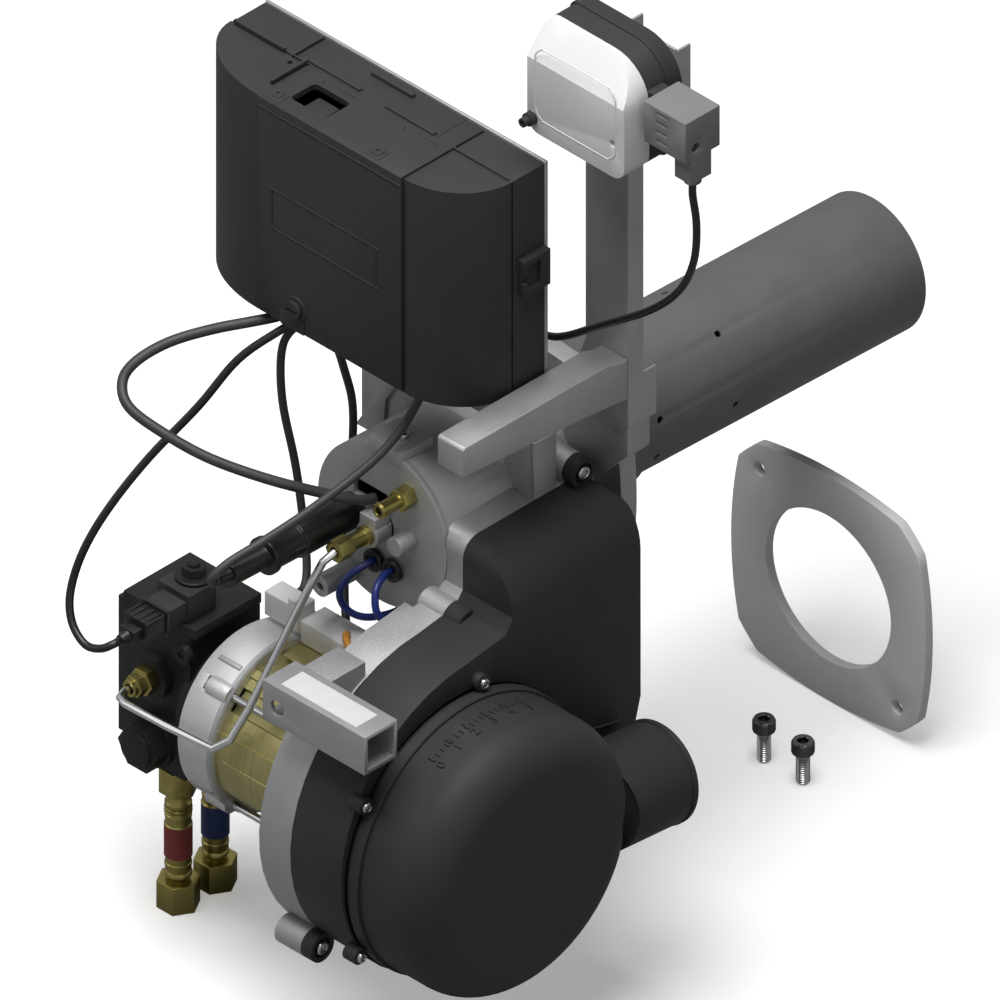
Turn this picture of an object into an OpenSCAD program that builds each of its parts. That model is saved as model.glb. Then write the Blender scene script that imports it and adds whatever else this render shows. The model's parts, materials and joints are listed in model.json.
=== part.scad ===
// Forced-draught oil burner: casting, blast head, fan, motor, pump, control box and air switch.
// The boiler lies on the +Y side of the mounting flange. Z points up. Sizes are in millimetres.

/* [Blast head] */
// Radius of the blast tube, outside
tube_r = 41.75; // [38:0.25:44]
// Wall of the blast tube
tube_wall = 1.5; // [1:0.1:2.5]
// Length of the blast tube in front of the flange
tube_len = 256; // [200:1:320]
// Downward slope of the blast tube towards the boiler, in degrees
tube_slope = 2; // [0:0.5:3]
// Width of the collar ring round the blast tube
collar_len = 38; // [30:1:50]
// Radius of the diffuser disc
diffuser_r = 38; // [32:0.5:38]
// Radius of the nozzle holder pipe
holder_r = 7; // [6:0.25:8]

/* [Flange] */
// Distance from the flange centre to the middle of a side
flange_half = 75; // [72:0.5:80]
// Radius of the bulging flange sides
flange_side_r = 260; // [230:5:320]
// Distance from the flange centre to the rounded corners
flange_corner_r = 88; // [86:0.5:92]
// Thickness of the flange plate
flange_t = 12; // [9:0.5:15]
// Distance of each mounting bolt from the centre lines
bolt_offset = 53; // [50:0.5:55]
// Radius of a mounting bolt hole
bolt_hole_r = 4.25; // [4.25:0.05:5]

/* [Casting] */
// Radius of the casting barrel, outside
barrel_r = 49.5; // [48:0.5:52]
// Wall of the casting
cast_wall = 4.5; // [3.5:0.5:5]
// Length of the barrel in front of the flange face
barrel_len = 117; // [110:1:125]
// Place of the motor face of the fan housing along X
scroll_x = 38; // [36:0.5:40]
// Place of the joint between casting and fan cover along X
part_x = 62; // [58:0.5:64]

/* [Fan] */
// Place of the fan axis along Y
fan_y = -165; // [-167:0.5:-163]
// Place of the fan axis along Z
fan_z = -124; // [-126:0.5:-122]
// Smallest radius of the fan scroll
scroll_r = 87; // [85:0.5:90]
// Place of the outer face of the fan cover along X
cover_x = 101; // [98:0.5:103]
// Wall of the fan cover
cover_wall = 3; // [2:0.25:4]
// Radius of the fan wheel
wheel_r = 64; // [55:0.5:70]
// Number of fan blades
blades = 26; // [16:1:32]
// Radius of the fan inlet eye
eye_r = 52; // [44:0.5:54]

/* [Air intake] */
// Radius of the air intake housing
intake_r = 84; // [80:0.5:85]
// Depth of the air intake housing
intake_depth = 61.8; // [61.8:0.2:66]
// Radius of the rounded rim of the intake housing
intake_round = 25; // [15:1:30]
// Radius of the intake spigot
spigot_r = 30; // [26:0.25:30]
// Length of the spigot from the fan axis to its mouth
spigot_len = 126; // [110:1:140]

/* [Motor] */
// Radius of the motor end cap
motor_r = 53; // [51:0.5:55]
// Place of the rear end of the motor along X
motor_back = -63; // [-66:0.5:-60]
// Depth of the motor end cap
cap_depth = 28.5; // [24:0.5:32]
// Radius of the motor shaft
shaft_r = 6; // [5:0.25:7]

/* [Pump] */
// Place of the pump's outer face along X
pump_back = -130; // [-134:1:-126]
// Place of the pump's front face along Y
pump_front = -200; // [-203:0.5:-198]
// Place of the pump's lower face along Z
pump_low = -168; // [-170:0.5:-166]
// Place of the pump's top plate along Z
pump_top = -66; // [-68:0.5:-65]
// Distance between the two hoses
hose_gap = 28.5; // [28:0.5:30]
// Width across the flats of the union nuts
union_af = 21.6; // [20:0.2:23]

/* [Control box] */
// Left side of the control box along X
box_left = -145.5; // [-150:0.5:-140]
// Right side of the control box along X
box_right = 70.5; // [66:0.5:72]
// Underside of the control box
box_low = 110.5; // [108:0.5:112]
// Height of the control box
box_high = 144; // [130:1:160]
// Front of the control box along Y
box_front = -133; // [-138:0.5:-130]
// Wall of the control box
box_wall = 2.5; // [1.5:0.25:3]
// Push-in travel of the reset button
button_travel = 3; // [2:0.25:3.5]

/* [Air switch] */
// Left side of the air pressure switch along X
switch_left = 59.9; // [58:0.1:62]
// Width of the air pressure switch
switch_w = 74.7; // [70:0.1:78]
// Underside of the air pressure switch
switch_low = 273; // [268:1:278]
// Height of the air pressure switch
switch_h = 68; // [62:1:72]

/* [Arm and strap] */
// Side of the square support tube
square_side = 25; // [22:0.5:26]
// Wall of the square support tube
square_wall = 2.5; // [1.5:0.25:3]
// Length of the square support tube
square_len = 78.5; // [70:0.5:90]
// Width of the support arm
arm_w = 20; // [16:0.5:20]
// Top of the support arm
arm_top = 115.8; // [112:0.1:118]
// Sheet thickness of the strap bracket
strap_t = 1.5; // [1:0.1:2]

/* [Loose set] */
// Thickness of the flange gasket
gasket_t = 6; // [4:0.5:8]
// Radius of the hole in the gasket
gasket_hole_r = 48; // [44:0.5:52]
// Length of a mounting screw below its head
screw_len = 20; // [16:1:25]

/* [Fits] */
// Radial clearance of a shaft or pin in its bearing
running_fit = 0.05; // [0.03:0.01:0.1]
// Radial clearance of a pushed-in tube in its seat
seat_fit = 0.1; // [0.05:0.01:0.2]
// Gap between parts that turn past each other
turn_gap = 0.5; // [0.4:0.05:0.8]

/* [Hidden] */
$fn = 96;
eps = 0.01;
cut = 1;

cover_face = -barrel_len - 4;
seat_z = -flange_t;
block_t = 12;
lead_x = [-4, 10];
lead_z = -24.4;
scroll_grow_back = 15;
scroll_grow_front = 36;
duct_front = -121;
duct_back = -23;
duct_top = 24;
duct_round = 12;
stator_end = scroll_x - 5;
cap_front = motor_back + cap_depth;
bolt_ring_r = motor_r - 2.5;
recess_x = cover_x - 4;
intake_x = recess_x + 3.5;
intake_wall = 3;
spigot_drop = 5;
box_back = -66.7;
box_split = -92;
box_top = box_low + box_high;
box_skin = 1.5;
plate_t = 2;
plate_back = box_back + plate_t;
strap_front = -24.5;
strap_back = strap_front + strap_t;
strap_right = 92.7;
arm_left = strap_right - arm_w;
switch_right = switch_left + switch_w;
switch_split = -50;
switch_front = -69.4;
hose_x = -98;
supply_y = -180;
return_y = supply_y + hose_gap;
hose_low = -268;
button_x = -56.2;
button_y = -112.2;
fastener_x = -54.4;
fastener_z = 126.8;
gasket_at = [16.8, 208.4, hose_low + flange_half];
lugs = [[-36, 31], [-128, -23], [-237, -185]];

// Routes of the cables, from end to end
conduit_route = [[-75, -112, box_low], [-75, -112, 107], [-79, -121, 104], [-88, -134, 102],
    [-101, -151, 99], [-114, -171, 94], [-121, -189, 87], [-121, -200, 79], [-110, -206, 70],
    [-88, -200, 60], [-64, -189, 50], [-37, -170, 40], [-18, -147, 29], [-8, -130, 21],
    [-6, cover_face, 19]];
coil_route = [[-66, -118, box_low], [-66, -118, 107], [-72, -128, 101], [-85, -147, 85],
    [-95, -167, 59], [-108, -192, 31], [-118, -213, 3], [-124, -227, -22], [-124, -237, -44],
    [-117, -243, -58], [-105, -245, -66], [-95, -243, -65], [-90, -238, -62], [-90, -233, -62]];
control_route = [[-64, -104, box_low], [-64, -104, 106], [-70, -116, 100], [-75, -123, 86],
    [-76, -122, 50], [-74, -114, 5], [-68, -114, -30], [-57, -122, -52], [-52, -130, -60],
    [-52, -138, -60]];
motor_route = [[-44, -106, box_low], [-44, -106, 106], [-48, -108, 96], [-53, -98, 72], [-58, -86, 40],
    [-62, -82, 5], [-58, -90, -36], [-40, -110, -62], [-24, -125, -68], [-22, -126, -77]];
sensor_route = [[-22, -224.9, 7.9], [-22, -229, 8], [-21, -231, 13], [-18, -222, 20], [-13, -202, 26],
    [-4, -170, 38], [8, -130, 60], [12, -106, 84], [11, -97, 104], [11, -97, box_low]];
switch_route = [[166, -48, 280], [166, -48, 270], [167, -46, 250], [165, -46, 225], [153, -45, 199],
    [129, -44, 173], [91, -44, 144], [61, -45, 122], [45, -48, 119], [34, -52, 122],
    [30, -56, 125], [30, plate_back + 4, 125]];
lead_a_route = [[-4, cover_face - 3, -20], [-4, -129, -20], [-8, -138, -25], [-11, -143, -36],
    [-7, -141, -46], [0, -134, -51], [5, -120, -53], [8, -110, -51], [8, -104, -51]];
lead_b_route = [[10, cover_face - 3, -20], [10, -129, -20], [13, -139, -24], [18, -143, -35],
    [22, -136, -44], [24, -124, -50], [22, -112, -51], [22, -104, -51]];
capacitor_route = [[-4, -144, -62], [-4, -144, -59], [0, -149, -57], [8, -153, -60],
    [18, -153, -66], [24, -152, -72], [24, -152, -77]];
line_route = [[-101, -211, -109], [-101, -219, -109], [-99, -224, -109], [-93, -226, -109],
    [-60, -226, -108], [-26, -225, -106], [-18, -220, -99], [-14, -210, -82], [-5, -172, -14],
    [-2, -165, 0], [0, -158, 4], [0, -147, 4]];

function arc(p, rx, ry, a0, a1, n) =
    [for (i = [0:n]) let (a = a0 + (a1 - a0) * i / n) [p[0] + rx * cos(a), p[1] + ry * sin(a)]];

// The scroll widens from its lower left, both towards the waist and towards the outlet
function scroll_radius(a) = scroll_r + (a < 225
    ? scroll_grow_back * pow((225 - a) / 130, 2)
    : scroll_grow_front * pow((a - 225) / 115, 2.5));
function housing_points(inset) = concat(
    [for (a = [84:9:354]) 
        [fan_y, fan_z] + (scroll_radius(a) - inset) * [cos(a), sin(a)]],
    [[duct_back - inset, -108]],
    arc([duct_back - duct_round, duct_top - duct_round], duct_round - inset,
        duct_round - inset, 0, 90, 6),
    arc([duct_front + duct_round, duct_top - duct_round], duct_round - inset,
        duct_round - inset, 90, 180, 6),
    [[duct_front + inset, -8 - inset], [duct_front - 6 + inset, -16 - inset]]);

module along_x(x) { translate([x, 0, 0]) rotate([90, 0, 90]) children(); }
module along_y(y) { translate([0, y, 0]) rotate([-90, 0, 0]) children(); }
module on_fan_axis(x) { translate([x, fan_y, fan_z]) rotate([0, 90, 0]) children(); }
module on_tube(z) { rotate([-90 - tube_slope, 0, 0]) translate([0, 0, z]) children(); }
module sloped() { rotate([-tube_slope, 0, 0]) children(); }
module on_cover(x, z, y = cover_face) { sloped() translate([x, y, z]) rotate([90, 0, 0]) children(); }
module bar(from, to) { translate(from) cube(to - from); }
module hexagon(af, h) { cylinder(r = af / sqrt(3), h = h, $fn = 6); }
module ring(ro, ri, h) {
    difference() {
        cylinder(r = ro, h = h);
        translate([0, 0, -cut]) cylinder(r = ri, h = h + 2 * cut);
    }
}
module housing_solid(inset, x0, x1) {
    along_x(x0) linear_extrude(x1 - x0) polygon(housing_points(inset));
}
module at_lugs(x) {
    for (p = lugs) translate([x, p[0], p[1]]) rotate([0, 90, 0]) children();
}

// A cable is one tube whose rings stand square to its route
function unit(v) = v / norm(v);
function tangent(p, i) = unit(p[min(i + 1, len(p) - 1)] - p[max(i - 1, 0)]);
function side_of(t, s) = unit(s - t * (s * t));
function sides_along(p, i, s) = i >= len(p) ? [] :
    let (n = side_of(tangent(p, i), s)) concat([n], sides_along(p, i + 1, n));
module cable(p, d, n = 8) {
    first = abs(tangent(p, 0)[2]) < 0.8 ? [0, 0, 1] : [1, 0, 0];
    across = sides_along(p, 0, first);
    rings = [for (i = [0:len(p) - 1]) for (j = [0:n - 1])
        let (a = 360 * j / n, t = tangent(p, i))
        p[i] + d / 2 * (cos(a) * across[i] + sin(a) * cross(t, across[i]))];
    walls = [for (i = [0:len(p) - 2]) for (j = [0:n - 1])
        let (k = (j + 1) % n) [i * n + j, (i + 1) * n + j, (i + 1) * n + k, i * n + k]];
    ends = [[for (j = [0:n - 1]) j], [for (j = [n - 1:-1:0]) (len(p) - 1) * n + j]];
    polyhedron(points = rings, faces = concat(walls, ends), convexity = 8);
}

// Main casting: flange, barrel, air duct and the motor side of the fan scroll in one piece
module flange_outline() {
    intersection() {
        circle(flange_corner_r);
        intersection_for (a = [0:90:270])
            rotate(a) translate([flange_half - flange_side_r, 0]) circle(flange_side_r, $fn = 360);
    }
}
module bolt_places() {
    for (s = [-1, 1]) translate([s * bolt_offset, s * bolt_offset]) children();
}
module screw_pocket(wall) {
    bar([bolt_offset - 8 - wall, -44 - wall, -bolt_offset - 8 - wall],
        [part_x - 3 + wall, duct_back + cut, -bolt_offset + 8 + wall]);
}
module flange_rib(a) {
    rotate([0, a, 0]) translate([barrel_r - 3, seat_z, -3]) linear_extrude(6)
        polygon([[0, 0], [flange_half - barrel_r + 1, 0], [flange_half - barrel_r - 3, -6], [0, -38]]);
}
module casting_outside() {
    along_y(-flange_t) linear_extrude(flange_t) flange_outline();
    along_y(-flange_t - 11) linear_extrude(12) bolt_places() circle(11);
    for (a = [90:90:270]) flange_rib(a);
    on_tube(-barrel_len) cylinder(r = barrel_r, h = barrel_len - 6);
    on_tube(-34) cylinder(r = barrel_r + 5, h = 26);
    housing_solid(0, scroll_x, part_x);
    difference() {
        housing_solid(0, 18, scroll_x + 1);
        bar([10, -260, -240], [scroll_x + 2, 0, -38]);
        bar([10, -260, -60], [scroll_x + 2, duct_front + 6, 40]);
    }
    at_lugs(part_x - 20) cylinder(r = 9, h = 20);
    on_fan_axis(stator_end) cylinder(r = motor_r - 1, h = 8);
    bolt_circle(stator_end, bolt_ring_r) cylinder(r = 6.5, h = 8);
    arm_riser();
    bar([-72, plate_back, 12], [-38, -48, 46]);
    bar([40, plate_back, 18], [part_x - 1, -48, 60]);
    bar([40, -225, -50], [part_x - 1, -195, -20]);
    bar([2, -104, -58], [30, -92, -38]);
}
module arm_riser() {
    difference() {
        along_y(strap_back) linear_extrude(17)
            polygon([[42, -24], [70, -24], [90.8, -46], [90.8, -84], [part_x, -84], [42, -52]]);
        for (z = [40, 62]) bar([part_x + 5, strap_back + 3, z], [86, 0, z + 15]);
    }
}
module housing_casting() {
    color("silver") difference() {
        union() {
            casting_hollow();
            screw_pocket(2);
        }
        screw_pocket(0);
        along_y(-flange_t - 30) linear_extrude(flange_t + 31) bolt_places() circle(bolt_hole_r);
    }
}
module casting_hollow() {
    difference() {
        casting_outside();
        on_tube(seat_z) cylinder(r = tube_r + seat_fit, h = 40);
        on_tube(-28) cylinder(r = tube_r - 3, h = 30);
        // Recess that lets the tube's collar stand below the flange's face
        on_tube(-3) cylinder(r = tube_r + 3.8, h = 10);
        on_tube(-barrel_len - cut) cylinder(r = barrel_r - cast_wall, h = barrel_len - 24);
        on_tube(cover_face - 20) cylinder(r = barrel_r + turn_gap, h = 24);
        housing_solid(cast_wall, scroll_x + 5, part_x + cut);
        intersection() {
            housing_solid(cast_wall, 10, scroll_x + 6);
            bar([18 + cast_wall, -112, -34], [scroll_x + 6, -34, 20]);
        }
        on_fan_axis(stator_end - cut) cylinder(r = shaft_r + running_fit, h = 20);
        at_lugs(part_x - 14) cylinder(r = 2.2, h = 16);
    }
}

module blast_tube() {
    color("dimgray") difference() {
        on_tube(seat_z) cylinder(r = tube_r, h = tube_len - seat_z);
        on_tube(seat_z - cut) cylinder(r = tube_r - tube_wall, h = tube_len - seat_z + 2 * cut);
        on_tube(110) for (a = [39:60:339]) rotate([90, 0, a]) cylinder(r = 2, h = tube_r + cut);
        on_tube(52) for (a = [-22, 13]) rotate([0, 90, -a]) cylinder(r = 2.2, h = tube_r + cut);
    }
}
module tube_collar() {
    color("gray") difference() {
        on_tube(1.8) ring(tube_r + 2.6, tube_r + seat_fit, collar_len);
        for (z = [12, 24]) on_tube(z) rotate([0, 90, 12]) translate([0, 0, tube_r - 4])
            for (s = [-3, 0, 3]) translate([0, s, 0]) cylinder(r = 2, h = 12);
    }
}
module nozzle_holder() {
    color("silver") on_tube(cover_face) difference() {
        cylinder(r = holder_r, h = 180 - cover_face);
        translate([0, 0, 8]) cylinder(r = 2.5, h = 180 - cover_face);
    }
}
module nozzle() {
    color("goldenrod") on_tube(180) difference() {
        union() {
            hexagon(14, 9);
            translate([0, 0, 9]) cylinder(r1 = 5.5, r2 = 3, h = 7);
        }
        translate([0, 0, -cut]) cylinder(r = 1, h = 20);
    }
}
module diffuser_disc() {
    color("dimgray") {
        on_tube(165) ring(holder_r + 4, holder_r + running_fit, 10);
        on_tube(206) difference() {
            cylinder(r = diffuser_r, h = 2);
            translate([0, 0, -cut]) cylinder(r = 11, h = 4);
            for (a = [0:30:330]) rotate(a) translate([16, -1.2, -cut]) cube([diffuser_r - 22, 2.4, 4]);
        }
        for (a = [30:120:270]) on_tube(168) rotate(a) {
            translate([holder_r + 2, -2, 0]) cube([22, 4, 3]);
            translate([holder_r + 20, -2, 0]) cube([3, 4, 38]);
        }
    }
}
module electrodes() {
    color("whitesmoke") {
        for (s = [-1, 1]) on_tube(-104) translate([13 * s, -17, 0]) {
            cylinder(r = 3, h = 286);
            translate([0, 0, 285]) cylinder(r = 1, h = 14);
            translate([0, 0, 299]) rotate([0, -60 * s, 0]) cylinder(r = 1, h = 9);
        }
        on_tube(142) difference() {
            union() {
                translate([-17, -21, 0]) cube([34, 8, 8]);
                translate([-4, -18, 0]) cube([8, 12, 8]);
                cylinder(r = holder_r + 4, h = 8);
            }
            translate([0, 0, -cut]) cylinder(r = holder_r + running_fit, h = 10);
        }
    }
}
module end_cover() {
    color("silver") difference() {
        union() {
            on_tube(cover_face) cylinder(r = barrel_r, h = 4);
            bar([-12, cover_face + 1, barrel_r - 2], [14, -96, barrel_r + 8]);
        }
        on_tube(-barrel_len) cylinder(r = barrel_r + 0.4, h = 30);
        on_tube(cover_face - cut) cylinder(r = holder_r + 2, h = 8);
        sloped() bar([-22.5, cover_face - 3, 10], [3.4, -112, 21]);
        translate([2, -108, barrel_r]) cylinder(r = 2.2, h = 12);
        for (x = lead_x) on_cover(x, lead_z, -112) cylinder(r = 3, h = 12);
    }
}
module oil_block() {
    color("gainsboro") difference() {
        union() {
            sloped() bar([-6, cover_face - block_t, -1.2], [6, cover_face, 11]);
            on_cover(0, -1.2) cylinder(r = 8, h = block_t);
        }
        on_cover(0, -1.2, cover_face - 6) cylinder(r = 2, h = 10);
    }
}
module line_nut() {
    color("goldenrod") on_cover(0, -1.2, cover_face - block_t) difference() {
        union() {
            cylinder(r = 5.8, h = 3);
            cylinder(r = 4.6, h = 18);
            translate([0, 0, 15]) hexagon(12, 10);
        }
        translate([0, 0, 14]) cylinder(r = 3, h = 20);
    }
}
module oil_line() {
    color("lightgray") cable(line_route, 4.8, 10);
}
module measuring_nipple() {
    color("goldenrod") on_cover(19.6, 29) difference() {
        union() {
            hexagon(12, 9);
            cylinder(r1 = 4.4, r2 = 4.2, h = 24);
            translate([0, 0, 21]) cylinder(r = 4.8, h = 2);
        }
        translate([0, 0, 6]) cylinder(r = 2.4, h = 20);
    }
}
module sight_pin() {
    color("lightgray") on_cover(20.9, 0.7) cylinder(r = 5.7, h = 12);
}
module spacer_pin() {
    color("gray") on_cover(-22, -40) difference() {
        cylinder(r = 6.4, h = 25);
        translate([0, 0, 10]) cylinder(r = 2.4, h = 20);
    }
}
module lead_grommets() {
    color("black") for (x = lead_x) on_cover(x, lead_z) difference() {
        cylinder(r = 6.9, h = 3.5);
        translate([0, 0, 2]) cylinder(r = 4, h = 4);
    }
}
module ignition_lead_a() { color("navy") cable(lead_a_route, 4.2); }
module ignition_lead_b() { color("navy") cable(lead_b_route, 4.2); }
module flame_sensor() {
    color("#26282a") on_cover(-22, 0) {
        cylinder(r = 9.5, h = 20);
        cylinder(r1 = 10.2, r2 = 10.8, h = 46);
        translate([0, 0, 46]) cylinder(r = 9.6, h = 22);
        translate([0, 0, 66]) cylinder(r = 11.2, h = 4);
        translate([0, 0, 70]) cylinder(r = 6.6, h = 26);
        translate([0, 0, 96]) cylinder(r = 3.6, h = 8);
    }
}
module sensor_cable() { color("#2c2e30") cable(sensor_route, 5, 8); }

// Fan: moulded cover, air intake housing with its spigot, and the bladed wheel
module cover_profile(inset) {
    polygon(concat([[part_x - cut, -240], [cover_x - inset, -240]],
        arc([cover_x - 30, duct_top - 34], 30 - inset, 34 - inset, 0, 90, 10),
        [[part_x - cut, duct_top - inset]]));
}
module cover_solid(inset, x0) {
    intersection() {
        housing_solid(inset, x0, cover_x - inset);
        translate([0, 20, 0]) rotate([90, 0, 0]) linear_extrude(300) cover_profile(inset);
    }
}
module fan_cover() {
    color("#1c1d1e") difference() {
        union() {
            difference() {
                cover_solid(0, part_x);
                cover_solid(cover_wall, part_x - cut);
                on_fan_axis(recess_x) cylinder(r = intake_r + 2, h = 10);
            }
            on_fan_axis(recess_x - cover_wall) cylinder(r = intake_r + 2, h = cover_wall);
            on_fan_axis(recess_x - cut) ring(intake_r - 4, intake_r - 9, 3);
            at_lugs(part_x) cylinder(r = 9, h = 8);
            for (a = [170, 235, 300]) on_fan_axis(recess_x) rotate(a)
                translate([intake_r + 7, 0]) cylinder(r = 5, h = 9);
        }
        on_fan_axis(recess_x - 6) cylinder(r = eye_r, h = 12);
        at_lugs(part_x - cut) cylinder(r = 2.6, h = 12);
        at_lugs(part_x + 5) cylinder(r = 6.2, h = 12);
    }
}
module intake_profile(inset, floor_x) {
    polygon(concat([[0, floor_x], [intake_r - inset, floor_x]],
        arc([intake_r - intake_round, intake_x + intake_depth - intake_round],
            intake_round - inset, intake_round - inset, 0, 90, 12),
        [[0, intake_x + intake_depth - inset]]));
}
module on_spigot() {
    translate([cover_x + turn_gap + spigot_r + 0.4, fan_y, fan_z])
        rotate([-90 - spigot_drop, 0, 0]) children();
}
module intake_housing() {
    color("#191a1b") difference() {
        union() {
            difference() {
                on_fan_axis(0) rotate_extrude() intake_profile(0, intake_x);
                on_fan_axis(0) rotate_extrude() intake_profile(intake_wall, intake_x + intake_wall);
            }
            difference() {
                on_spigot() cylinder(r = spigot_r, h = spigot_len);
                on_fan_axis(intake_x + intake_wall - eps) cylinder(r = intake_r - intake_wall, h = 60);
            }
            on_fan_axis(recess_x - 2) ring(eye_r - turn_gap, eye_r - turn_gap - 2, 8);
            for (a = [70, 130, 190]) on_fan_axis(intake_x + 8) rotate(a)
                translate([intake_r - 3, -4]) cube([3, 8, 16]);
        }
        on_spigot() cylinder(r = spigot_r - 2, h = spigot_len + cut);
        on_fan_axis(recess_x - 3) cylinder(r = eye_r - turn_gap - 2, h = 8);
    }
}
module fan_wheel() {
    color("gainsboro") on_fan_axis(scroll_x + 10) {
        difference() {
            union() {
                cylinder(r = wheel_r, h = 1.6);
                cylinder(r = 13, h = 26);
            }
            translate([0, 0, -cut]) cylinder(r = shaft_r + running_fit, h = 40);
        }
        translate([0, 0, 40]) ring(wheel_r, wheel_r - 12, 1.6);
        for (i = [0:blades - 1]) rotate(360 * i / blades)
            translate([wheel_r - 7, 0, 0.8]) rotate(38) translate([-6, -0.6, 0]) cube([11, 1.2, 40]);
    }
}

// Motor with its shaft, and the fuel pump that the shaft drives
module motor_shaft() {
    color("silver") {
        on_fan_axis(motor_back - 5) cylinder(r = shaft_r, h = scroll_x + 30 - motor_back + 5);
        on_fan_axis(-24) cylinder(r = 21.5, h = 46);
    }
}
module bolt_circle(x, r) {
    for (a = [45:90:315]) on_fan_axis(x) rotate(a) translate([r, 0]) children();
}
module motor_stator() {
    color("#b5a55c") difference() {
        union() {
            on_fan_axis(cap_front) cylinder(r = motor_r - 4, h = stator_end - cap_front);
            for (x = [cap_front + 6:12:stator_end - 12]) on_fan_axis(x) cylinder(r = motor_r - 2, h = 6);
        }
        on_fan_axis(cap_front - cut) cylinder(r = 22, h = 90);
        bolt_circle(cap_front - cut, bolt_ring_r) cylinder(r = 4.5, h = 90);
        bar([cap_front + 4, fan_y - 24, fan_z + motor_r - 6], [stator_end - 4, fan_y + 42, 0]);
    }
}
module motor_end_cap() {
    color("lightgray") difference() {
        union() {
            on_fan_axis(motor_back + 3) cylinder(r = motor_r, h = cap_depth - 3);
            on_fan_axis(motor_back) cylinder(r = motor_r - 2.5, h = 4);
            bolt_circle(motor_back + 12, bolt_ring_r) cylinder(r = 6, h = cap_depth - 13);
        }
        on_fan_axis(motor_back + 5) cylinder(r = motor_r - 6, h = cap_depth);
        on_fan_axis(motor_back - cut) cylinder(r = shaft_r + running_fit, h = 20);
        bolt_circle(motor_back + 11, bolt_ring_r) cylinder(r = 2.3, h = 60);
        bolt_circle(motor_back + 9, bolt_ring_r) cylinder(r = 4.6, h = 5);
        for (a = [20:45:335])
            on_fan_axis(motor_back - cut) rotate(a) translate([30, 0]) cylinder(r = 4.5, h = 8);
    }
}
module through_bolts() {
    color("silver") bolt_circle(motor_back + 14, bolt_ring_r) {
        cylinder(r = 2.2, h = stator_end - motor_back - 14);
        translate([0, 0, -4]) hexagon(7, 4);
    }
}
module pump_coupling() {
    color("#303030") {
        on_fan_axis(motor_back - 13) cylinder(r = 9, h = 8);
        on_fan_axis(motor_back - 30) cylinder(r = 4, h = 18);
    }
}
module pump_body() {
    color("#1b1c1e") difference() {
        union() {
            bar([pump_back, pump_front + 6, pump_low + 8], [motor_back - 12, -140, pump_top - 5]);
            bar([pump_back + 6, pump_front + 4, pump_low], [motor_back - 14, -137, pump_low + 30]);
            bar([pump_back + 4, pump_front + 6, pump_top - 6], [motor_back - 8, -143, pump_top]);
            on_fan_axis(motor_back - 16) cylinder(r = 36, h = 16);
            on_fan_axis(motor_back - 60) cylinder(r = 30, h = 50);
            on_pump(-101, -109) cylinder(r = 13, h = 6);
            on_pump(-101, -152) cylinder(r = 16, h = 5);
            on_pump(-78, -84) cylinder(r = 6, h = 4);
        }
        on_fan_axis(motor_back - 17) cylinder(r = 10.5, h = 20);
        on_fan_axis(motor_back - 34) cylinder(r = 4 + running_fit, h = 30);
        translate([-90, -150, pump_top - 3]) cylinder(r = 4, h = 5);
        on_pump(-78, -84, 3) cylinder(r = 2.4, h = 8);
    }
}
module on_pump(x, z, out = 0) { translate([x, pump_front + 6 - out, z]) rotate([90, 0, 0]) children(); }
module regulator_cap() {
    color("#222426") on_pump(-101, -152, 5) {
        hexagon(26, 10);
        translate([0, 0, 10]) cylinder(r = 11, h = 2);
    }
}
module outlet_fitting() {
    color("goldenrod") on_pump(-101, -109, 6) difference() {
        union() {
            hexagon(15, 6);
            translate([0, 0, 6]) hexagon(12, 6);
            cylinder(r = 5, h = 15);
        }
        translate([0, 0, 11]) cylinder(r = 3, h = 10);
    }
}
module solenoid_coil() {
    color("#242628") difference() {
        union() {
            bar([-102, -192, pump_top], [-78, -176, -48]);
            translate([-90, -176, pump_top]) cylinder(r = 12, h = -48 - pump_top);
            translate([-90, -176, -48]) cylinder(r = 9.5, h = 0.8);
            bar([-98, -206, pump_top + 1], [-80, -191, -52]);
        }
        translate([-90, -176, pump_top - cut]) cylinder(r = 4, h = 10);
    }
}
module coil_nut() {
    color("#2a2c2e") translate([-90, -176, -47.2]) {
        cylinder(r = 7.5, h = 1.2);
        hexagon(12, 7);
        cylinder(r = 3.4, h = 9);
    }
}
module coil_plug() {
    color("#08090a") {
        bar([-99.5, -208, pump_top - 0.5], [-78.5, -206, -50.5]);
        bar([-98, -222, pump_top + 1], [-80, -208, -52.5]);
        bar([-95, -228, pump_top + 1], [-84, -222, -57]);
        for (x = [-96.5, -92, -87, -82.5]) bar([x - 0.8, -222, -53], [x + 0.8, -209, -51.8]);
        translate([-90, -228, -62]) rotate([90, 0, 0]) cylinder(r1 = 4.2, r2 = 3, h = 5);
    }
}
module hose(x, y, c) {
    color(c) translate([x, y, 0]) {
        translate([0, 0, pump_low - 8]) cylinder(r = 7.5, h = 8);
        translate([0, 0, pump_low - 24]) hexagon(19.8, 17);
        translate([0, 0, hose_low + 18]) cylinder(r = 7.25, h = 60);
        translate([0, 0, hose_low + 34]) cylinder(r = 7.9, h = 20.5);
        for (z = [22, 28, 60, 68]) translate([0, 0, hose_low + z]) cylinder(r = 7.6, h = 2);
        translate([0, 0, hose_low + 12]) cylinder(r = 5.5, h = 10);
        translate([0, 0, hose_low + 11]) cylinder(r = 7.6, h = 4.4);
    }
}
module union_nut(x, y) {
    color("#a08c3c") translate([x, y, hose_low]) difference() {
        hexagon(union_af, 17.7);
        translate([0, 0, -cut]) cylinder(r = 8.6, h = 16.8);
        cylinder(r = 5.5 + running_fit, h = 30);
    }
}
module supply_hose() { hose(hose_x, supply_y, "firebrick"); }
module return_hose() { hose(hose_x, return_y, "royalblue"); }
module supply_nut() { union_nut(hose_x, supply_y); }
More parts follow.
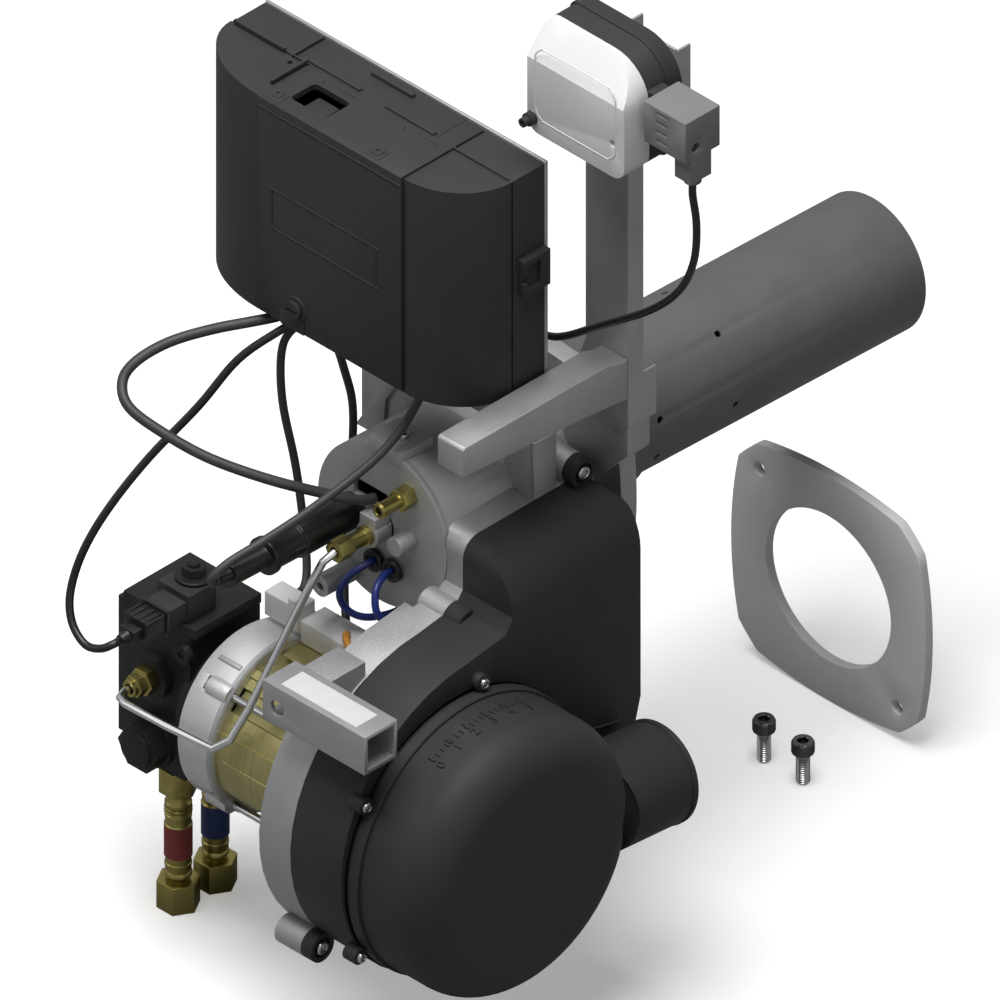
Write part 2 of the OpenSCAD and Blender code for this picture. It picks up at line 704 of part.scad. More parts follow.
module return_nut() { union_nut(hose_x, return_y); }

// Control box: two shells, a raised centre cover, a reset button, a quarter-turn fastener and a latch
module box_outline(inset, deeper) {
    rl = 60 - inset;
    rr = 44 - inset;
    polygon(concat(
        arc([box_left + 60, box_front + 2 + 39], rl, 39 - inset, 180, 270, 14),
        arc([box_right - 44, box_front + 2 + 40], rr, 40 - inset, 270, 360, 14),
        [[box_right - inset, box_split + deeper], [box_left + inset, box_split + deeper]]));
}
module button_window(z) {
    translate([-70, -122, z]) linear_extrude(8) hull() {
        for (x = [3, 24.5], y = [3, 16.5]) translate([x, y]) circle(3, $fn = 32);
    }
}
module box_cover() {
    color("#202224") difference() {
        translate([0, 0, box_low]) linear_extrude(box_high - box_skin) box_outline(0, 0);
        translate([0, 0, box_low + box_wall])
            linear_extrude(box_high - box_skin - 2 * box_wall) box_outline(box_wall, cut);
        button_window(box_top - 6);
        on_box(fastener_x, fastener_z, box_front + 12) cylinder(r = 3.6, h = 14);
        for (x = [-95, 16]) translate([x, -97, box_top - 8]) cylinder(r = 1.6, h = 10);
        for (x = [[-84.8, 1], [26.8, -1]]) translate([x[0] - 0.6, box_front + 1.5, box_low - cut])
            cube([1.2, 1, box_high + 2]);
    }
}
module on_box(x, z, y) { translate([x, y, z]) rotate([90, 0, 0]) children(); }
module centre_cover() {
    color("#1d1f21") difference() {
        union() {
            bar([-84.3, box_front, box_low + 2], [26.3, box_front + 2, box_top]);
            bar([-84.3, box_front, box_top - box_skin], [26.3, box_back - 2, box_top]);
            on_box(fastener_x, fastener_z, box_front) cylinder(r = 8, h = 0.8);
        }
        button_window(box_top - 4);
        on_box(fastener_x, fastener_z, box_front + 4) cylinder(r = 3 + running_fit, h = 8);
        for (x = [-68, -6]) bar([x, -100, box_top - 0.6], [x + 26, -97, box_top + 1]);
    }
}
module box_back_shell() {
    color("#26282a") difference() {
        union() {
            difference() {
                bar([box_left + 1, box_split, box_low], [box_right, box_back, box_top - box_skin]);
                bar([box_left + 1 + box_wall, box_split - cut, box_low + box_wall],
                    [box_right - box_wall, box_back - box_wall, box_top - box_skin - box_wall]);
            }
            bar([button_x - 6, button_y - 6, box_top - 32], [button_x + 6, box_back - 1, box_top - 26]);
            for (x = [-110, -20, 50]) bar([x, box_split + 4, box_low + 1], [x + 2, box_back - 1, box_top - 3]);
        }
        translate([button_x, button_y, box_top - 40]) cylinder(r = 3 + running_fit, h = 20);
    }
}
module reset_button() {
    color("#101112") translate([button_x, button_y, 0]) {
        translate([0, 0, box_top - 36]) cylinder(r = 3, h = 20);
        // Shoulder that lands on the guide when the button is pushed right in
        translate([0, 0, box_top - 26 + button_travel]) cylinder(r = 5.5, h = 10 - button_travel);
        translate([-8, -7, box_top - 17]) cube([16, 14, 12]);
    }
}
module cover_fastener() {
    color("#141516") on_box(fastener_x, fastener_z, box_front - 1.1) difference() {
        union() {
            cylinder(r = 5.75, h = 2.6);
            translate([0, 0, -14]) cylinder(r = 3, h = 15);
        }
        translate([-4.5, -0.8, 1.4]) cube([9, 1.6, 2]);
    }
}
module box_latch() {
    color("#181a1b") difference() {
        bar([box_right, -87, 175.5], [box_right + 4.8, box_back, 199]);
        bar([box_right + 2.2, -84, 179], [box_right + 6, -74, 195.5]);
        bar([box_right + 2, -90, 184], [box_right + 6, -78, 190]);
    }
}
module mounting_plate() {
    color("silver") {
        along_y(box_back) linear_extrude(plate_t) difference() {
            polygon([[box_left + 1, -box_top], [box_right + 1, -box_top], [box_right + 1, -box_low],
                [56, -box_low + 6], [60, -24], [50, -24], [50, -52], [36, -62], [-34, -62],
                [-52, -34], [-54, -7], [-75, -7], [-49, -50], [-46, -box_low + 4],
                [-52, -box_low], [box_left + 1, -box_low]]);
            for (x = [-100, 30]) translate([x, -box_top + 12]) circle(3);
            translate([0, -84]) circle(9);
        }
        along_y(plate_back) translate([30, -125]) cylinder(r = 5, h = 4);
    }
}

// Strap bracket and the air pressure switch on it
module strap_bracket() {
    color("gainsboro") {
        along_y(strap_front) linear_extrude(strap_t) difference() {
            polygon([[60, -box_low], [60, -290], [60, -337], [129, -337], [129, -288], [strap_right, -280],
                [strap_right, -70], [86, -58], [50, -64], [48, -78]]);
            for (z = [92, 256]) translate([76, -z]) circle(3.2);
        }
        bar([strap_right - strap_t, strap_front, 66], [strap_right, -12.5, 337]);
        bar([strap_right - strap_t, -12.6, 66], [strap_right, -2.6, 98]);
        bar([127.5, strap_front, 290], [129, -12.5, 335]);
        bar([60, strap_front, 120], [60 + strap_t, -16, 270]);
    }
}
module switch_outline(inset, top_r) {
    x0 = switch_left + inset;
    x1 = switch_right - inset;
    z0 = switch_low + inset;
    z1 = switch_low + switch_h - inset;
    polygon(concat(arc([x0 + 9, z0 + 9], 9, 9, 180, 270, 5), arc([x1 - 9, z0 + 9], 9, 9, 270, 360, 5),
        arc([x1 - top_r, z1 - top_r], top_r, top_r, 0, 90, 8), arc([x0 + 6, z1 - 6], 6, 6, 90, 180, 4)));
}
module in_switch(y) { translate([0, y, 0]) rotate([90, 0, 0]) children(); }
module switch_body() {
    color("#1a1b1d") difference() {
        union() {
            in_switch(strap_front) linear_extrude(strap_front - switch_split) switch_outline(0, 26);
            in_switch(strap_front - 8) linear_extrude(3) switch_outline(-1, 27);
            bar([switch_right - 2, -49.9, 303], [switch_right + 5.9, -38, 324]);
            in_switch(switch_front) translate([switch_left + 4, switch_low + 9, 0]) cylinder(r = 4, h = 4);
            in_switch(switch_front - 4) translate([switch_left + 4, switch_low + 9, 0]) cylinder(r = 2.8, h = 4);
        }
        in_switch(switch_front - 2) translate([switch_left + 4, switch_low + 9, 0]) cylinder(r = 1.3, h = 9);
        in_switch(switch_split + 10) linear_extrude(22) switch_outline(3, 24);
    }
}
// Space under the cover's sloping top, or a wall's thickness lower
module below_slope(drop) {
    translate([switch_left - 5, 0, 0]) rotate([90, 0, 90]) linear_extrude(switch_w + 10)
        polygon([[switch_front, switch_low - 5], [switch_front, 321 - drop], [switch_split - 2, 341.5 - drop],
            [switch_split + 2, 342 - drop], [switch_split + 2, switch_low - 5]]);
}
module switch_cover() {
    color("#f2f2f0") difference() {
        intersection() {
            in_switch(switch_split) linear_extrude(switch_split - switch_front) switch_outline(0, 26);
            below_slope(0);
        }
        intersection() {
            in_switch(switch_split + 1) linear_extrude(12) switch_outline(3, 24);
            below_slope(5);
        }
        in_switch(switch_front + 2) translate([switch_right - 9, switch_low + 22, 0]) cylinder(r = 2.4, h = 4);
        in_switch(switch_front + 1) translate([switch_left + 4, switch_low + 9, -20]) cylinder(r = 4.1, h = 30);
    }
}
module switch_plug() {
    color("#5a5c5e") difference() {
        union() {
            bar([switch_right + 5.9, -60, 299.8], [switch_right + 37.9, -33.5, 326.5]);
            bar([160, -56, 284], [switch_right + 37.9, -40, 300]);
            translate([166, -48, 280]) cylinder(r = 5, h = 5);
        }
        along_x(switch_right + 34) translate([-52, 307]) cylinder(r = 3, h = 8);
        for (z = [304, 310, 316, 322]) bar([150, -61, z], [158, -59.4, z + 2]);
    }
}

// Arm and square tube that carry the burner's cover
module support_arm() {
    color("silver") difference() {
        along_x(arm_left) linear_extrude(arm_w) polygon([[-151.4, arm_top - 19.3], [-151.4, arm_top - 1.5],
            [-149.9, arm_top], [-40, arm_top], [-32, arm_top - 3], [strap_front, arm_top - 3],
            [strap_front, arm_top - 30], [-60, arm_top - 26]]);
        along_x(arm_left + 4) linear_extrude(arm_w - 8) polygon([[-145, arm_top - 30],
            [-145, arm_top - 5], [-50, arm_top - 5], [-40, arm_top - 10], [-40, arm_top - 40]]);
    }
}
module square_tube() {
    color("lightgray") difference() {
        bar([37, -225 - square_side, -16 - square_side], [37 + square_len, -225, -16]);
        bar([36, -225 - square_side + square_wall, -16 - square_side + square_wall],
            [38 + square_len, -225 - square_wall, -16 - square_wall]);
        on_box(48, -30, -240) cylinder(r = 5, h = 20);
        on_box(48, -30, -224) cylinder(r = 2.6, h = 8);
    }
}

// Motor capacitor with its plug and lead
module capacitor() {
    color("whitesmoke") {
        bar([-34.3, -150, -77], [8, -131, -62]);
        bar([0, -148, -77], [22, -133, -66]);
    }
    color("gray") {
        bar([-60, -152, -70], [-34.3, -138, -54]);
        bar([-42, -152, -62], [-36, -146, -50]);
    }
}
module capacitor_lead() { color("darkorange") cable(capacitor_route, 4); }

// Screws that hold the covers; they share one shape
module cap_screw(d, l) {
    difference() {
        union() {
            translate([0, 0, -l]) cylinder(r = d / 2, h = l);
            cylinder(r = d * 0.8, h = d * 0.9);
        }
        translate([0, 0, d * 0.4]) cylinder(r = d * 0.42, h = d, $fn = 6);
    }
}
module cover_screws() {
    color("gainsboro") {
        at_lugs(part_x + 5) cap_screw(4.3, 12);
        on_box(48, -30, -227.5) cap_screw(5, 2.4);
        translate([2, -108, barrel_r + 8]) cap_screw(4, 3.4);
    }
}

// The gasket and the two mounting screws come loose with the burner
module gasket() {
    color("whitesmoke") translate(gasket_at) along_y(-gasket_t / 2) linear_extrude(gasket_t) difference() {
        flange_outline();
        circle(gasket_hole_r);
        bolt_places() circle(bolt_hole_r);
    }
}
module gasket_screws() {
    color("silver") for (p = [[31.7, 141.2], [61.3, 141.6]]) translate([p[0], p[1], hose_low]) {
        difference() {
            union() {
                cylinder(r = 4, h = screw_len);
                translate([0, 0, screw_len]) cylinder(r = 6.5, h = 8);
            }
            translate([0, 0, screw_len + 4]) cylinder(r = 3.4, h = 6, $fn = 6);
        }
    }
}

// Cables that run from the underside of the control box
module conduit() { color("#3a3c3e") cable(conduit_route, 6, 10); }
module coil_cable() { color("#0a0a0b") cable(coil_route, 4.7); }
module control_cable() { color("#242628") cable(control_route, 4.7); }
module motor_cable() { color("#242628") cable(motor_route, 4.7); }
module switch_cable() { color("#0a0a0b") cable(switch_route, 4.4); }

housing_casting();
blast_tube();
tube_collar();
nozzle_holder();
nozzle();
diffuser_disc();
electrodes();
end_cover();
oil_block();
line_nut();
oil_line();
measuring_nipple();
sight_pin();
spacer_pin();
lead_grommets();
ignition_lead_a();
ignition_lead_b();
flame_sensor();
sensor_cable();
fan_cover();
intake_housing();
fan_wheel();
motor_shaft();
motor_stator();
motor_end_cap();
through_bolts();
pump_coupling();
pump_body();
regulator_cap();
outlet_fitting();
solenoid_coil();
coil_nut();
coil_plug();
coil_cable();
supply_hose();
supply_nut();
return_hose();
return_nut();
box_back_shell();
box_cover();
centre_cover();
reset_button();
cover_fastener();
box_latch();
mounting_plate();
strap_bracket();
switch_body();
switch_cover();
switch_plug();
switch_cable();
support_arm();
square_tube();
capacitor();
capacitor_lead();
cover_screws();
gasket();
gasket_screws();
conduit();
control_cable();
motor_cable();
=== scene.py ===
import json
import math

import bmesh
import bpy
from mathutils import Matrix, Vector

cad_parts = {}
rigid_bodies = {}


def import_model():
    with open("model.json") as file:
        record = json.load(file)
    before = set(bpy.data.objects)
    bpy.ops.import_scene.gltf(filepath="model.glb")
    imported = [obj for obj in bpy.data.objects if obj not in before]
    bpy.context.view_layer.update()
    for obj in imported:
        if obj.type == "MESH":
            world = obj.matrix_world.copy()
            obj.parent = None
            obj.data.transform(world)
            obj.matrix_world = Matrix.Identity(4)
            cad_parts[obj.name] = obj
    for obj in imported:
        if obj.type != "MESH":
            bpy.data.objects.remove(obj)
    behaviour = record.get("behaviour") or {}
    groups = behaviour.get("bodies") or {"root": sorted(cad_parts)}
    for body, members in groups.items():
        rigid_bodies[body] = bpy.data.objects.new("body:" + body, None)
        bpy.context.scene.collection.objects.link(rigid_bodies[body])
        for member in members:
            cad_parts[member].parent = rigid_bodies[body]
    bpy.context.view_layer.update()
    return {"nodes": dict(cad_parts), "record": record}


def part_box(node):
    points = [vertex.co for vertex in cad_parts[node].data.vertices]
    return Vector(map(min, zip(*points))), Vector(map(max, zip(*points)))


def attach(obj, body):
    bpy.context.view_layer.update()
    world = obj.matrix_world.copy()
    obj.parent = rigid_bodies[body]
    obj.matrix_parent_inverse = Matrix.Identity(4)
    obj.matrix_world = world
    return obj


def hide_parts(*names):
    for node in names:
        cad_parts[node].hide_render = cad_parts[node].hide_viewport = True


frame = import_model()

MM = 0.001
ROOT = "burner"
INTAKE = "air_intake"
NODE_SLOT = {p["node"]: p["material_slot"] for p in frame["record"]["subparts"]}

# Places that several pieces share, in millimetres and in the frame's axes
FAN_Y, FAN_Z = -165, -124
COVER_LUGS = ((-36, 31), (-128, -23), (-237, -185))
LUG_FACE_X = 67
TUBE_SCREW = (48, -227.5, -30)
BARREL_SCREW = (2, -108, 57.5)
MIDDLE_LUG = (-128.5, -21.5)
INTAKE_SCREW_R, INTAKE_SCREW_X = 91.0, 106
MOTOR_BOLT_R = 50.5
STATOR_R, STATOR_FLAT = 50.4, 46.6
BOX_TOP, BOX_FRONT = 254.5, -133.0
SWITCH_FRONT = -69.3


# Camera: the photograph is an exact isometric view of 1.5 px per millimetre along each axis
PHOTO_PX = 1000
PX_PER_MM_IN_PLANE = 1.8371
FLANGE_PX = (539.4, 440.2)
VIEW = Vector((-1, 1, -1)).normalized()
CAMERA_FAR = 2.5


def show(name, data):
    """Puts a camera, lamp, curve or mesh into the scene as an object."""
    obj = bpy.data.objects.new(name, data)
    bpy.context.scene.collection.objects.link(obj)
    return obj


def set_camera():
    cam = bpy.data.cameras.new("camera")
    cam.type = "ORTHO"
    cam.ortho_scale = PHOTO_PX / PX_PER_MM_IN_PLANE * MM
    cam.clip_end = 20
    obj = show("camera", cam)
    right = VIEW.cross(Vector((0, 0, 1))).normalized()
    up = right.cross(VIEW)
    px = MM / PX_PER_MM_IN_PLANE
    centre = right * (PHOTO_PX / 2 - FLANGE_PX[0]) * px + up * (FLANGE_PX[1] - PHOTO_PX / 2) * px
    turn = Matrix((right, up, -VIEW)).transposed().to_4x4()
    obj.matrix_world = Matrix.Translation(centre - VIEW * CAMERA_FAR) @ turn
    bpy.context.scene.camera = obj


# Node trees: a socket with operators for the maths, and one method for every other node
class Socket:
    def __init__(self, nodes, out):
        self.nodes = nodes
        self.out = out

    def maths(self, operation, *values):
        return self.nodes.add("ShaderNodeMath", {"operation": operation}, dict(enumerate(values)))

    def __add__(self, other):
        return self.maths("ADD", self, other)

    def __sub__(self, other):
        return self.maths("SUBTRACT", self, other)

    def __rsub__(self, other):
        return self.maths("SUBTRACT", other, self)

    def __mul__(self, other):
        return self.maths("MULTIPLY", self, other)

    def __gt__(self, other):
        return self.maths("GREATER_THAN", self, other)

    def __lt__(self, other):
        return self.maths("LESS_THAN", self, other)

    __radd__ = __add__

    def between(self, low, high):
        return (self > low) * (self < high)

    def cosine(self):
        return self.maths("COSINE", self)

    def sine(self):
        return self.maths("SINE", self)


class Nodes:
    """Adds nodes to one tree, with their inputs given by name or number."""

    def __init__(self, tree):
        self.tree = tree

    def put(self, spot, value):
        if isinstance(value, Socket):
            self.tree.links.new(value.out, spot)
        elif spot.type == "RGBA" and len(value) == 3:
            spot.default_value = (*value, 1)
        else:
            spot.default_value = value

    def add(self, kind, settings, inputs, output=0):
        node = self.tree.nodes.new(kind)
        for key, value in settings.items():
            setattr(node, key, value)
        for key, value in inputs.items():
            self.put(node.inputs[key], value)
        return Socket(self, node.outputs[output]) if node.outputs else None


class Finish(Nodes):
    """A material's node tree round one Principled shader."""

    def __init__(self, name):
        self.material = bpy.data.materials.new(name)
        self.material.use_nodes = True
        super().__init__(self.material.node_tree)
        self.shader = self.tree.nodes["Principled BSDF"]
        self.place = self.add("ShaderNodeTexCoord", {}, {}, "Object")

    def grain(self, per_metre, detail=2.0, stretch=(1, 1, 1)):
        spot = self.add("ShaderNodeMapping", {}, {"Vector": self.place, "Scale": stretch})
        return self.add("ShaderNodeTexNoise", {}, {"Vector": spot, "Scale": per_metre, "Detail": detail})

    def wave(self, axis, per_metre, distortion=0.0):
        return self.add("ShaderNodeTexWave", {"bands_direction": axis},
                        {"Vector": self.place, "Scale": per_metre, "Distortion": distortion})

    def mix(self, share, low, high):
        return self.add("ShaderNodeMix", {"data_type": "RGBA"}, {0: share, 6: low, 7: high}, 2)

    def ramp(self, value, low, high):
        return self.add("ShaderNodeMapRange", {}, {"Value": value, "From Min": low, "From Max": high})

    def height(self):
        return self.add("ShaderNodeSeparateXYZ", {}, {"Vector": self.place}, "Z")

    def set(self, **inputs):
        for key, value in inputs.items():
            self.put(self.shader.inputs[key.replace("_", " ")], value)
        return self

    def bump(self, height, distance, strength=1.0):
        normal = self.add("ShaderNodeBump", {}, {
            "Strength": strength, "Distance": distance, "Height": height})
        return self.set(Normal=normal)


class Copies(Nodes):
    """A Geometry Nodes tree that sets out copies of a part and gives them a finish."""

    def __init__(self, name, inputs):
        super().__init__(bpy.data.node_groups.new(name, "GeometryNodeTree"))
        face = self.tree.interface
        face.new_socket("Geometry", in_out="INPUT", socket_type="NodeSocketGeometry")
        face.new_socket("Geometry", in_out="OUTPUT", socket_type="NodeSocketGeometry")
        inputs = {"Part": "NodeSocketObject", "Finish": "NodeSocketMaterial", "Count": "NodeSocketInt",
                  **inputs}
        self.ids = {key: face.new_socket(key, in_out="INPUT", socket_type=kind).identifier
                    for key, kind in inputs.items()}

    def given(self, key):
        return self.add("NodeGroupInput", {}, {}, key)

    def set_out(self, points, **turned):
        """Stands the part on each point, makes the copies real and paints them."""
        part = self.add("GeometryNodeObjectInfo", {}, {"Object": self.given("Part"), "As Instance": True},
                        "Geometry")
        copies = self.add("GeometryNodeInstanceOnPoints", {}, {"Points": points, "Instance": part, **turned})
        real = self.add("GeometryNodeRealizeInstances", {}, {"Geometry": copies})
        painted = self.add("GeometryNodeSetMaterial", {}, {
            "Geometry": real, "Material": self.given("Finish")})
        self.add("NodeGroupOutput", {}, {"Geometry": painted})
        return self


def ring_tree():
    """Copies round the Z axis: the first stands at the start angle, each next a step further."""
    ring = Copies("copies_round_a_circle", {
        "Radius": "NodeSocketFloat", "Start": "NodeSocketFloat", "Step": "NodeSocketFloat"})
    turn = ring.add("GeometryNodeInputIndex", {}, {}) * ring.given("Step") + ring.given("Start")
    spot = ring.add("ShaderNodeCombineXYZ", {}, {
        "X": turn.cosine() * ring.given("Radius"), "Y": turn.sine() * ring.given("Radius")})
    points = ring.add("GeometryNodePoints", {}, {"Count": ring.given("Count"), "Position": spot})
    return ring.set_out(points, Rotation=ring.add("ShaderNodeCombineXYZ", {}, {"Z": turn}))


def line_tree():
    """Copies along a straight line, each a step further."""
    line = Copies("copies_along_a_line", {"Step": "NodeSocketVector"})
    points = line.add("GeometryNodeMeshLine", {"mode": "OFFSET"}, {
        "Count": line.given("Count"), "Offset": line.given("Step")})
    return line.set_out(points)


# Finishes
def shade(colour, factor):
    return tuple(min(1.0, c * factor) for c in colour)


def cast_metal(name, colour, rough):
    """Bead-blasted casting: fine pits over soft blotches."""
    f = Finish(name)
    blotch = f.ramp(f.grain(28, 3), 0.35, 0.65)
    pits = f.grain(2600, 2)
    f.set(Base_Color=f.mix(blotch, shade(colour, 0.93), shade(colour, 1.06)), Metallic=0.6,
          Roughness=rough + blotch * 0.08 + pits * 0.08)
    return f.bump(pits + f.grain(1100, 2) * 0.7, 0.0003, 0.8).material


def drawn_metal(name, colour, rough, along, metallic=1.0):
    """Drawn or brushed metal whose streaks run along one axis."""
    f = Finish(name)
    stretch = [1.0, 1.0, 1.0]
    stretch[along] = 0.04
    streaks = f.grain(900, 3, tuple(stretch))
    cloud = f.ramp(f.grain(40, 2), 0.35, 0.65)
    f.set(Base_Color=f.mix(cloud, shade(colour, 0.95), shade(colour, 1.05)), Metallic=metallic,
          Roughness=rough + streaks * 0.14)
    return f.bump(streaks, 0.00004, 0.35).material


def moulding(name, colour, rough=0.5, grain=0.00006, coarse=2400):
    """Spark-eroded plastic: an even fine grain with slightly shinier rubbed patches."""
    f = Finish(name)
    fine = f.grain(coarse, 3)
    rubbed = f.ramp(f.grain(35, 3), 0.4, 0.7)
    f.set(Base_Color=f.mix(rubbed, shade(colour, 0.97), shade(colour, 1.04)),
          Roughness=rough + fine * 0.14 - rubbed * 0.02, Specular_IOR_Level=0.22)
    return f.bump(fine, grain, 0.6).material


def sheath(name, colour, rough=0.45):
    """Cable sheath: a little waviness and a fine skin."""
    f = Finish(name)
    wave = f.grain(220, 2)
    dust = f.ramp(f.grain(60, 3), 0.45, 0.75)
    f.set(Base_Color=f.mix(dust, shade(colour, 0.9), shade(colour, 1.25)), Roughness=rough + wave * 0.15)
    return f.bump(wave + f.grain(1800, 2) * 0.3, 0.00008, 0.4).material


def laminations(name, colour):
    """Stacked stator sheets: fine lines square to the shaft, and a few darker sheets."""
    f = Finish(name)
    sheets = f.wave("X", 260)
    dark = f.ramp(f.grain(500, 2, (1, 0.02, 0.02)), 0.4, 0.65)
    f.set(Base_Color=f.mix(dark, shade(colour, 0.9), shade(colour, 1.06)), Metallic=0.75,
          Roughness=0.34 + sheets * 0.15)
    return f.bump(sheets, 0.00008, 0.35).material


def board(name, colour):
    """Pressed fibre board: pale and matt, with flecks and a felted surface."""
    f = Finish(name)
    fibre = f.grain(700, 5, (1, 0.3, 1))
    fleck = f.ramp(f.grain(160, 4), 0.5, 0.72)
    f.set(Base_Color=f.mix(fleck, shade(colour, 0.975), shade(colour, 1.02)), Roughness=0.82 + fibre * 0.1)
    return f.bump(fibre, 0.00018, 0.5).material


def hose_finish(name, sleeve, brass):
    """Turned brass with the coloured rubber sleeve between two heights."""
    f = Finish(name)
    band = f.height().between(*SLEEVE_Z)
    knit = f.wave("Z", 260, 1.5)
    cloud = f.ramp(f.grain(120, 3), 0.3, 0.7)
    metal = f.mix(cloud, shade(brass, 0.8), shade(brass, 1.15))
    f.set(Base_Color=f.mix(band, metal, f.mix(knit, shade(sleeve, 0.7), shade(sleeve, 1.3))),
          Metallic=1 - band, Roughness=0.3 + band * 0.3 + cloud * 0.1)
    return f.bump(knit * band, 0.0002, 0.6).material


SLEEVE_Z = (-0.2340, -0.2135)
BRASS = (0.36, 0.31, 0.10)
MATERIALS = {
    "cast_aluminium": cast_metal("cast_aluminium", (0.42, 0.425, 0.43), 0.34),
    "bright_casting": cast_metal("bright_casting", (0.66, 0.665, 0.67), 0.3),
    "tube_steel": drawn_metal("tube_steel", (0.13, 0.134, 0.136), 0.5, 1, 0.3),
    "bright_steel": drawn_metal("bright_steel", (0.62, 0.63, 0.64), 0.18, 0),
    "screw_steel": drawn_metal("screw_steel", (0.50, 0.50, 0.51), 0.14, 2),
    "black_chrome": drawn_metal("black_chrome", (0.16, 0.16, 0.165), 0.1, 2),
    "zinc_sheet": drawn_metal("zinc_sheet", (0.42, 0.43, 0.435), 0.38, 2, 0.6),
    "brass": drawn_metal("brass", BRASS, 0.24, 1),
    "laminations": laminations("laminations", (0.40, 0.36, 0.16)),
    "black_moulding": moulding("black_moulding", (0.034, 0.0345, 0.035), 0.5),
    "box_moulding": moulding("box_moulding", (0.036, 0.037, 0.0375), 0.46),
    "pump_black": moulding("pump_black", (0.017, 0.0175, 0.018), 0.42, 0.00012, 1400),
    "white_moulding": moulding("white_moulding", (0.74, 0.74, 0.735), 0.42),
    "grey_moulding": moulding("grey_moulding", (0.20, 0.20, 0.205), 0.5),
    "ceramic": moulding("ceramic", (0.72, 0.70, 0.64), 0.2, 0.00002),
    "black_rubber": sheath("black_rubber", (0.006, 0.006, 0.0065), 0.3),
    "grey_rubber": sheath("grey_rubber", (0.036, 0.037, 0.039), 0.45),
    "blue_silicone": sheath("blue_silicone", (0.014, 0.03, 0.20), 0.25),
    "orange_silicone": sheath("orange_silicone", (0.52, 0.22, 0.02), 0.35),
    "red_sleeve": hose_finish("red_sleeve", (0.24, 0.035, 0.03), BRASS),
    "blue_sleeve": hose_finish("blue_sleeve", (0.022, 0.045, 0.15), BRASS),
    "gasket_board": board("gasket_board", (0.66, 0.66, 0.66)),
}


# Cables: the same routes as in the CAD source, in millimetres here
ROUTES = {
    "conduit": (6.0, "grey_rubber", "medium", [[-75, -112, 110.5], [-75, -112, 107], [-79, -121, 104],
        [-88, -134, 102], [-101, -151, 99], [-114, -171, 94], [-121, -189, 87], [-121, -200, 79],
        [-110, -206, 70], [-88, -200, 60], [-64, -189, 50], [-37, -170, 40], [-18, -147, 29],
        [-8, -130, 21], [-6, -121, 19]]),
    "coil_cable": (4.7, "black_rubber", "medium", [[-66, -118, 110.5], [-66, -118, 107], [-72, -128, 101],
        [-85, -147, 85], [-95, -167, 59], [-108, -192, 31], [-118, -213, 3], [-124, -227, -22],
        [-124, -237, -44], [-117, -243, -58], [-105, -245, -66], [-95, -243, -65], [-90, -238, -62],
        [-90, -233, -62]]),
    "control_cable": (4.7, "grey_rubber", "medium", [[-64, -104, 110.5], [-64, -104, 106],
        [-70, -116, 100], [-75, -123, 86], [-76, -122, 50], [-74, -114, 5], [-68, -114, -30],
        [-57, -122, -52], [-52, -130, -60], [-52, -138, -60]]),
    "motor_cable": (4.7, "grey_rubber", "medium", [[-44, -106, 110.5], [-44, -106, 106], [-48, -108, 96],
        [-53, -98, 72], [-58, -86, 40], [-62, -82, 5], [-58, -90, -36], [-40, -110, -62],
        [-24, -125, -68], [-22, -126, -77]]),
    "sensor_cable": (5.0, "grey_rubber", "medium", [[-22, -224.9, 7.9], [-22, -229, 8], [-21, -231, 13],
        [-18, -222, 20], [-13, -202, 26], [-4, -170, 38], [8, -130, 60], [12, -106, 84], [11, -97, 104],
        [11, -97, 110.5]]),
    "switch_cable": (4.4, "black_rubber", "medium", [[166, -48, 280], [166, -48, 270], [167, -46, 250],
        [165, -46, 225], [153, -45, 199], [129, -44, 173], [91, -44, 144], [61, -45, 122], [45, -48, 119],
        [34, -52, 122], [30, -56, 125], [30, -60.7, 125]]),
    "ignition_lead_a": (4.2, "blue_silicone", "limp", [[-4, -124, -20], [-4, -129, -20], [-8, -138, -25],
        [-11, -143, -36], [-7, -141, -46], [0, -134, -51], [5, -120, -53], [8, -110, -51],
        [8, -104, -51]]),
    "ignition_lead_b": (4.2, "blue_silicone", "limp", [[10, -124, -20], [10, -129, -20], [13, -139, -24],
        [18, -143, -35], [22, -136, -44], [24, -124, -50], [22, -112, -51], [22, -104, -51]]),
    "capacitor_lead": (4.0, "orange_silicone", "limp", [[-4, -144, -62], [-4, -144, -59], [0, -149, -57],
        [8, -153, -60], [18, -153, -66], [24, -152, -72], [24, -152, -77]]),
}
CABLE_STEPS = 6
ROD_STEPS = 5



def smooth_route(points, steps):
    """A Catmull-Rom curve through the points, evened out once."""
    p = [Vector(q) * MM for q in points]
    ends = [p[0] * 2 - p[1]] + p + [p[-1] * 2 - p[-2]]
    out = []
    for i in range(len(p) - 1):
        a, b, c, d = ends[i:i + 4]
        for k in range(steps):
            t = k / steps
            out.append(0.5 * (2 * b + (c - a) * t + (2 * a - 5 * b + 4 * c - d) * t * t
                              + (3 * b - a - 3 * c + d) * t ** 3))
    out.append(p[-1])
    return [out[0]] + [(out[i - 1] + 2 * out[i] + out[i + 1]) / 4 for i in range(1, len(out) - 1)] + [out[-1]]


def swept(name, line, diameter, roundness):
    """A curve with a round section, in millimetres across, along a line of points in metres."""
    curve = bpy.data.curves.new(name, "CURVE")
    curve.dimensions = "3D"
    curve.bevel_depth = diameter / 2 * MM
    curve.bevel_resolution = roundness
    curve.use_fill_caps = True
    spline = curve.splines.new("POLY")
    spline.points.add(len(line) - 1)
    for point, spot in zip(spline.points, line):
        point.co = (*spot, 1)
    return show(name, curve)


def make_cable(node, diameter, slot, stiffness, points):
    line = smooth_route(points, CABLE_STEPS)
    piece = swept(node + "_sheath", line, diameter, 5)
    piece.data.materials.append(MATERIALS[slot])
    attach(piece, ROOT)
    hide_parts(node)
    length = sum((b - a).length for a, b in zip(line, line[1:]))


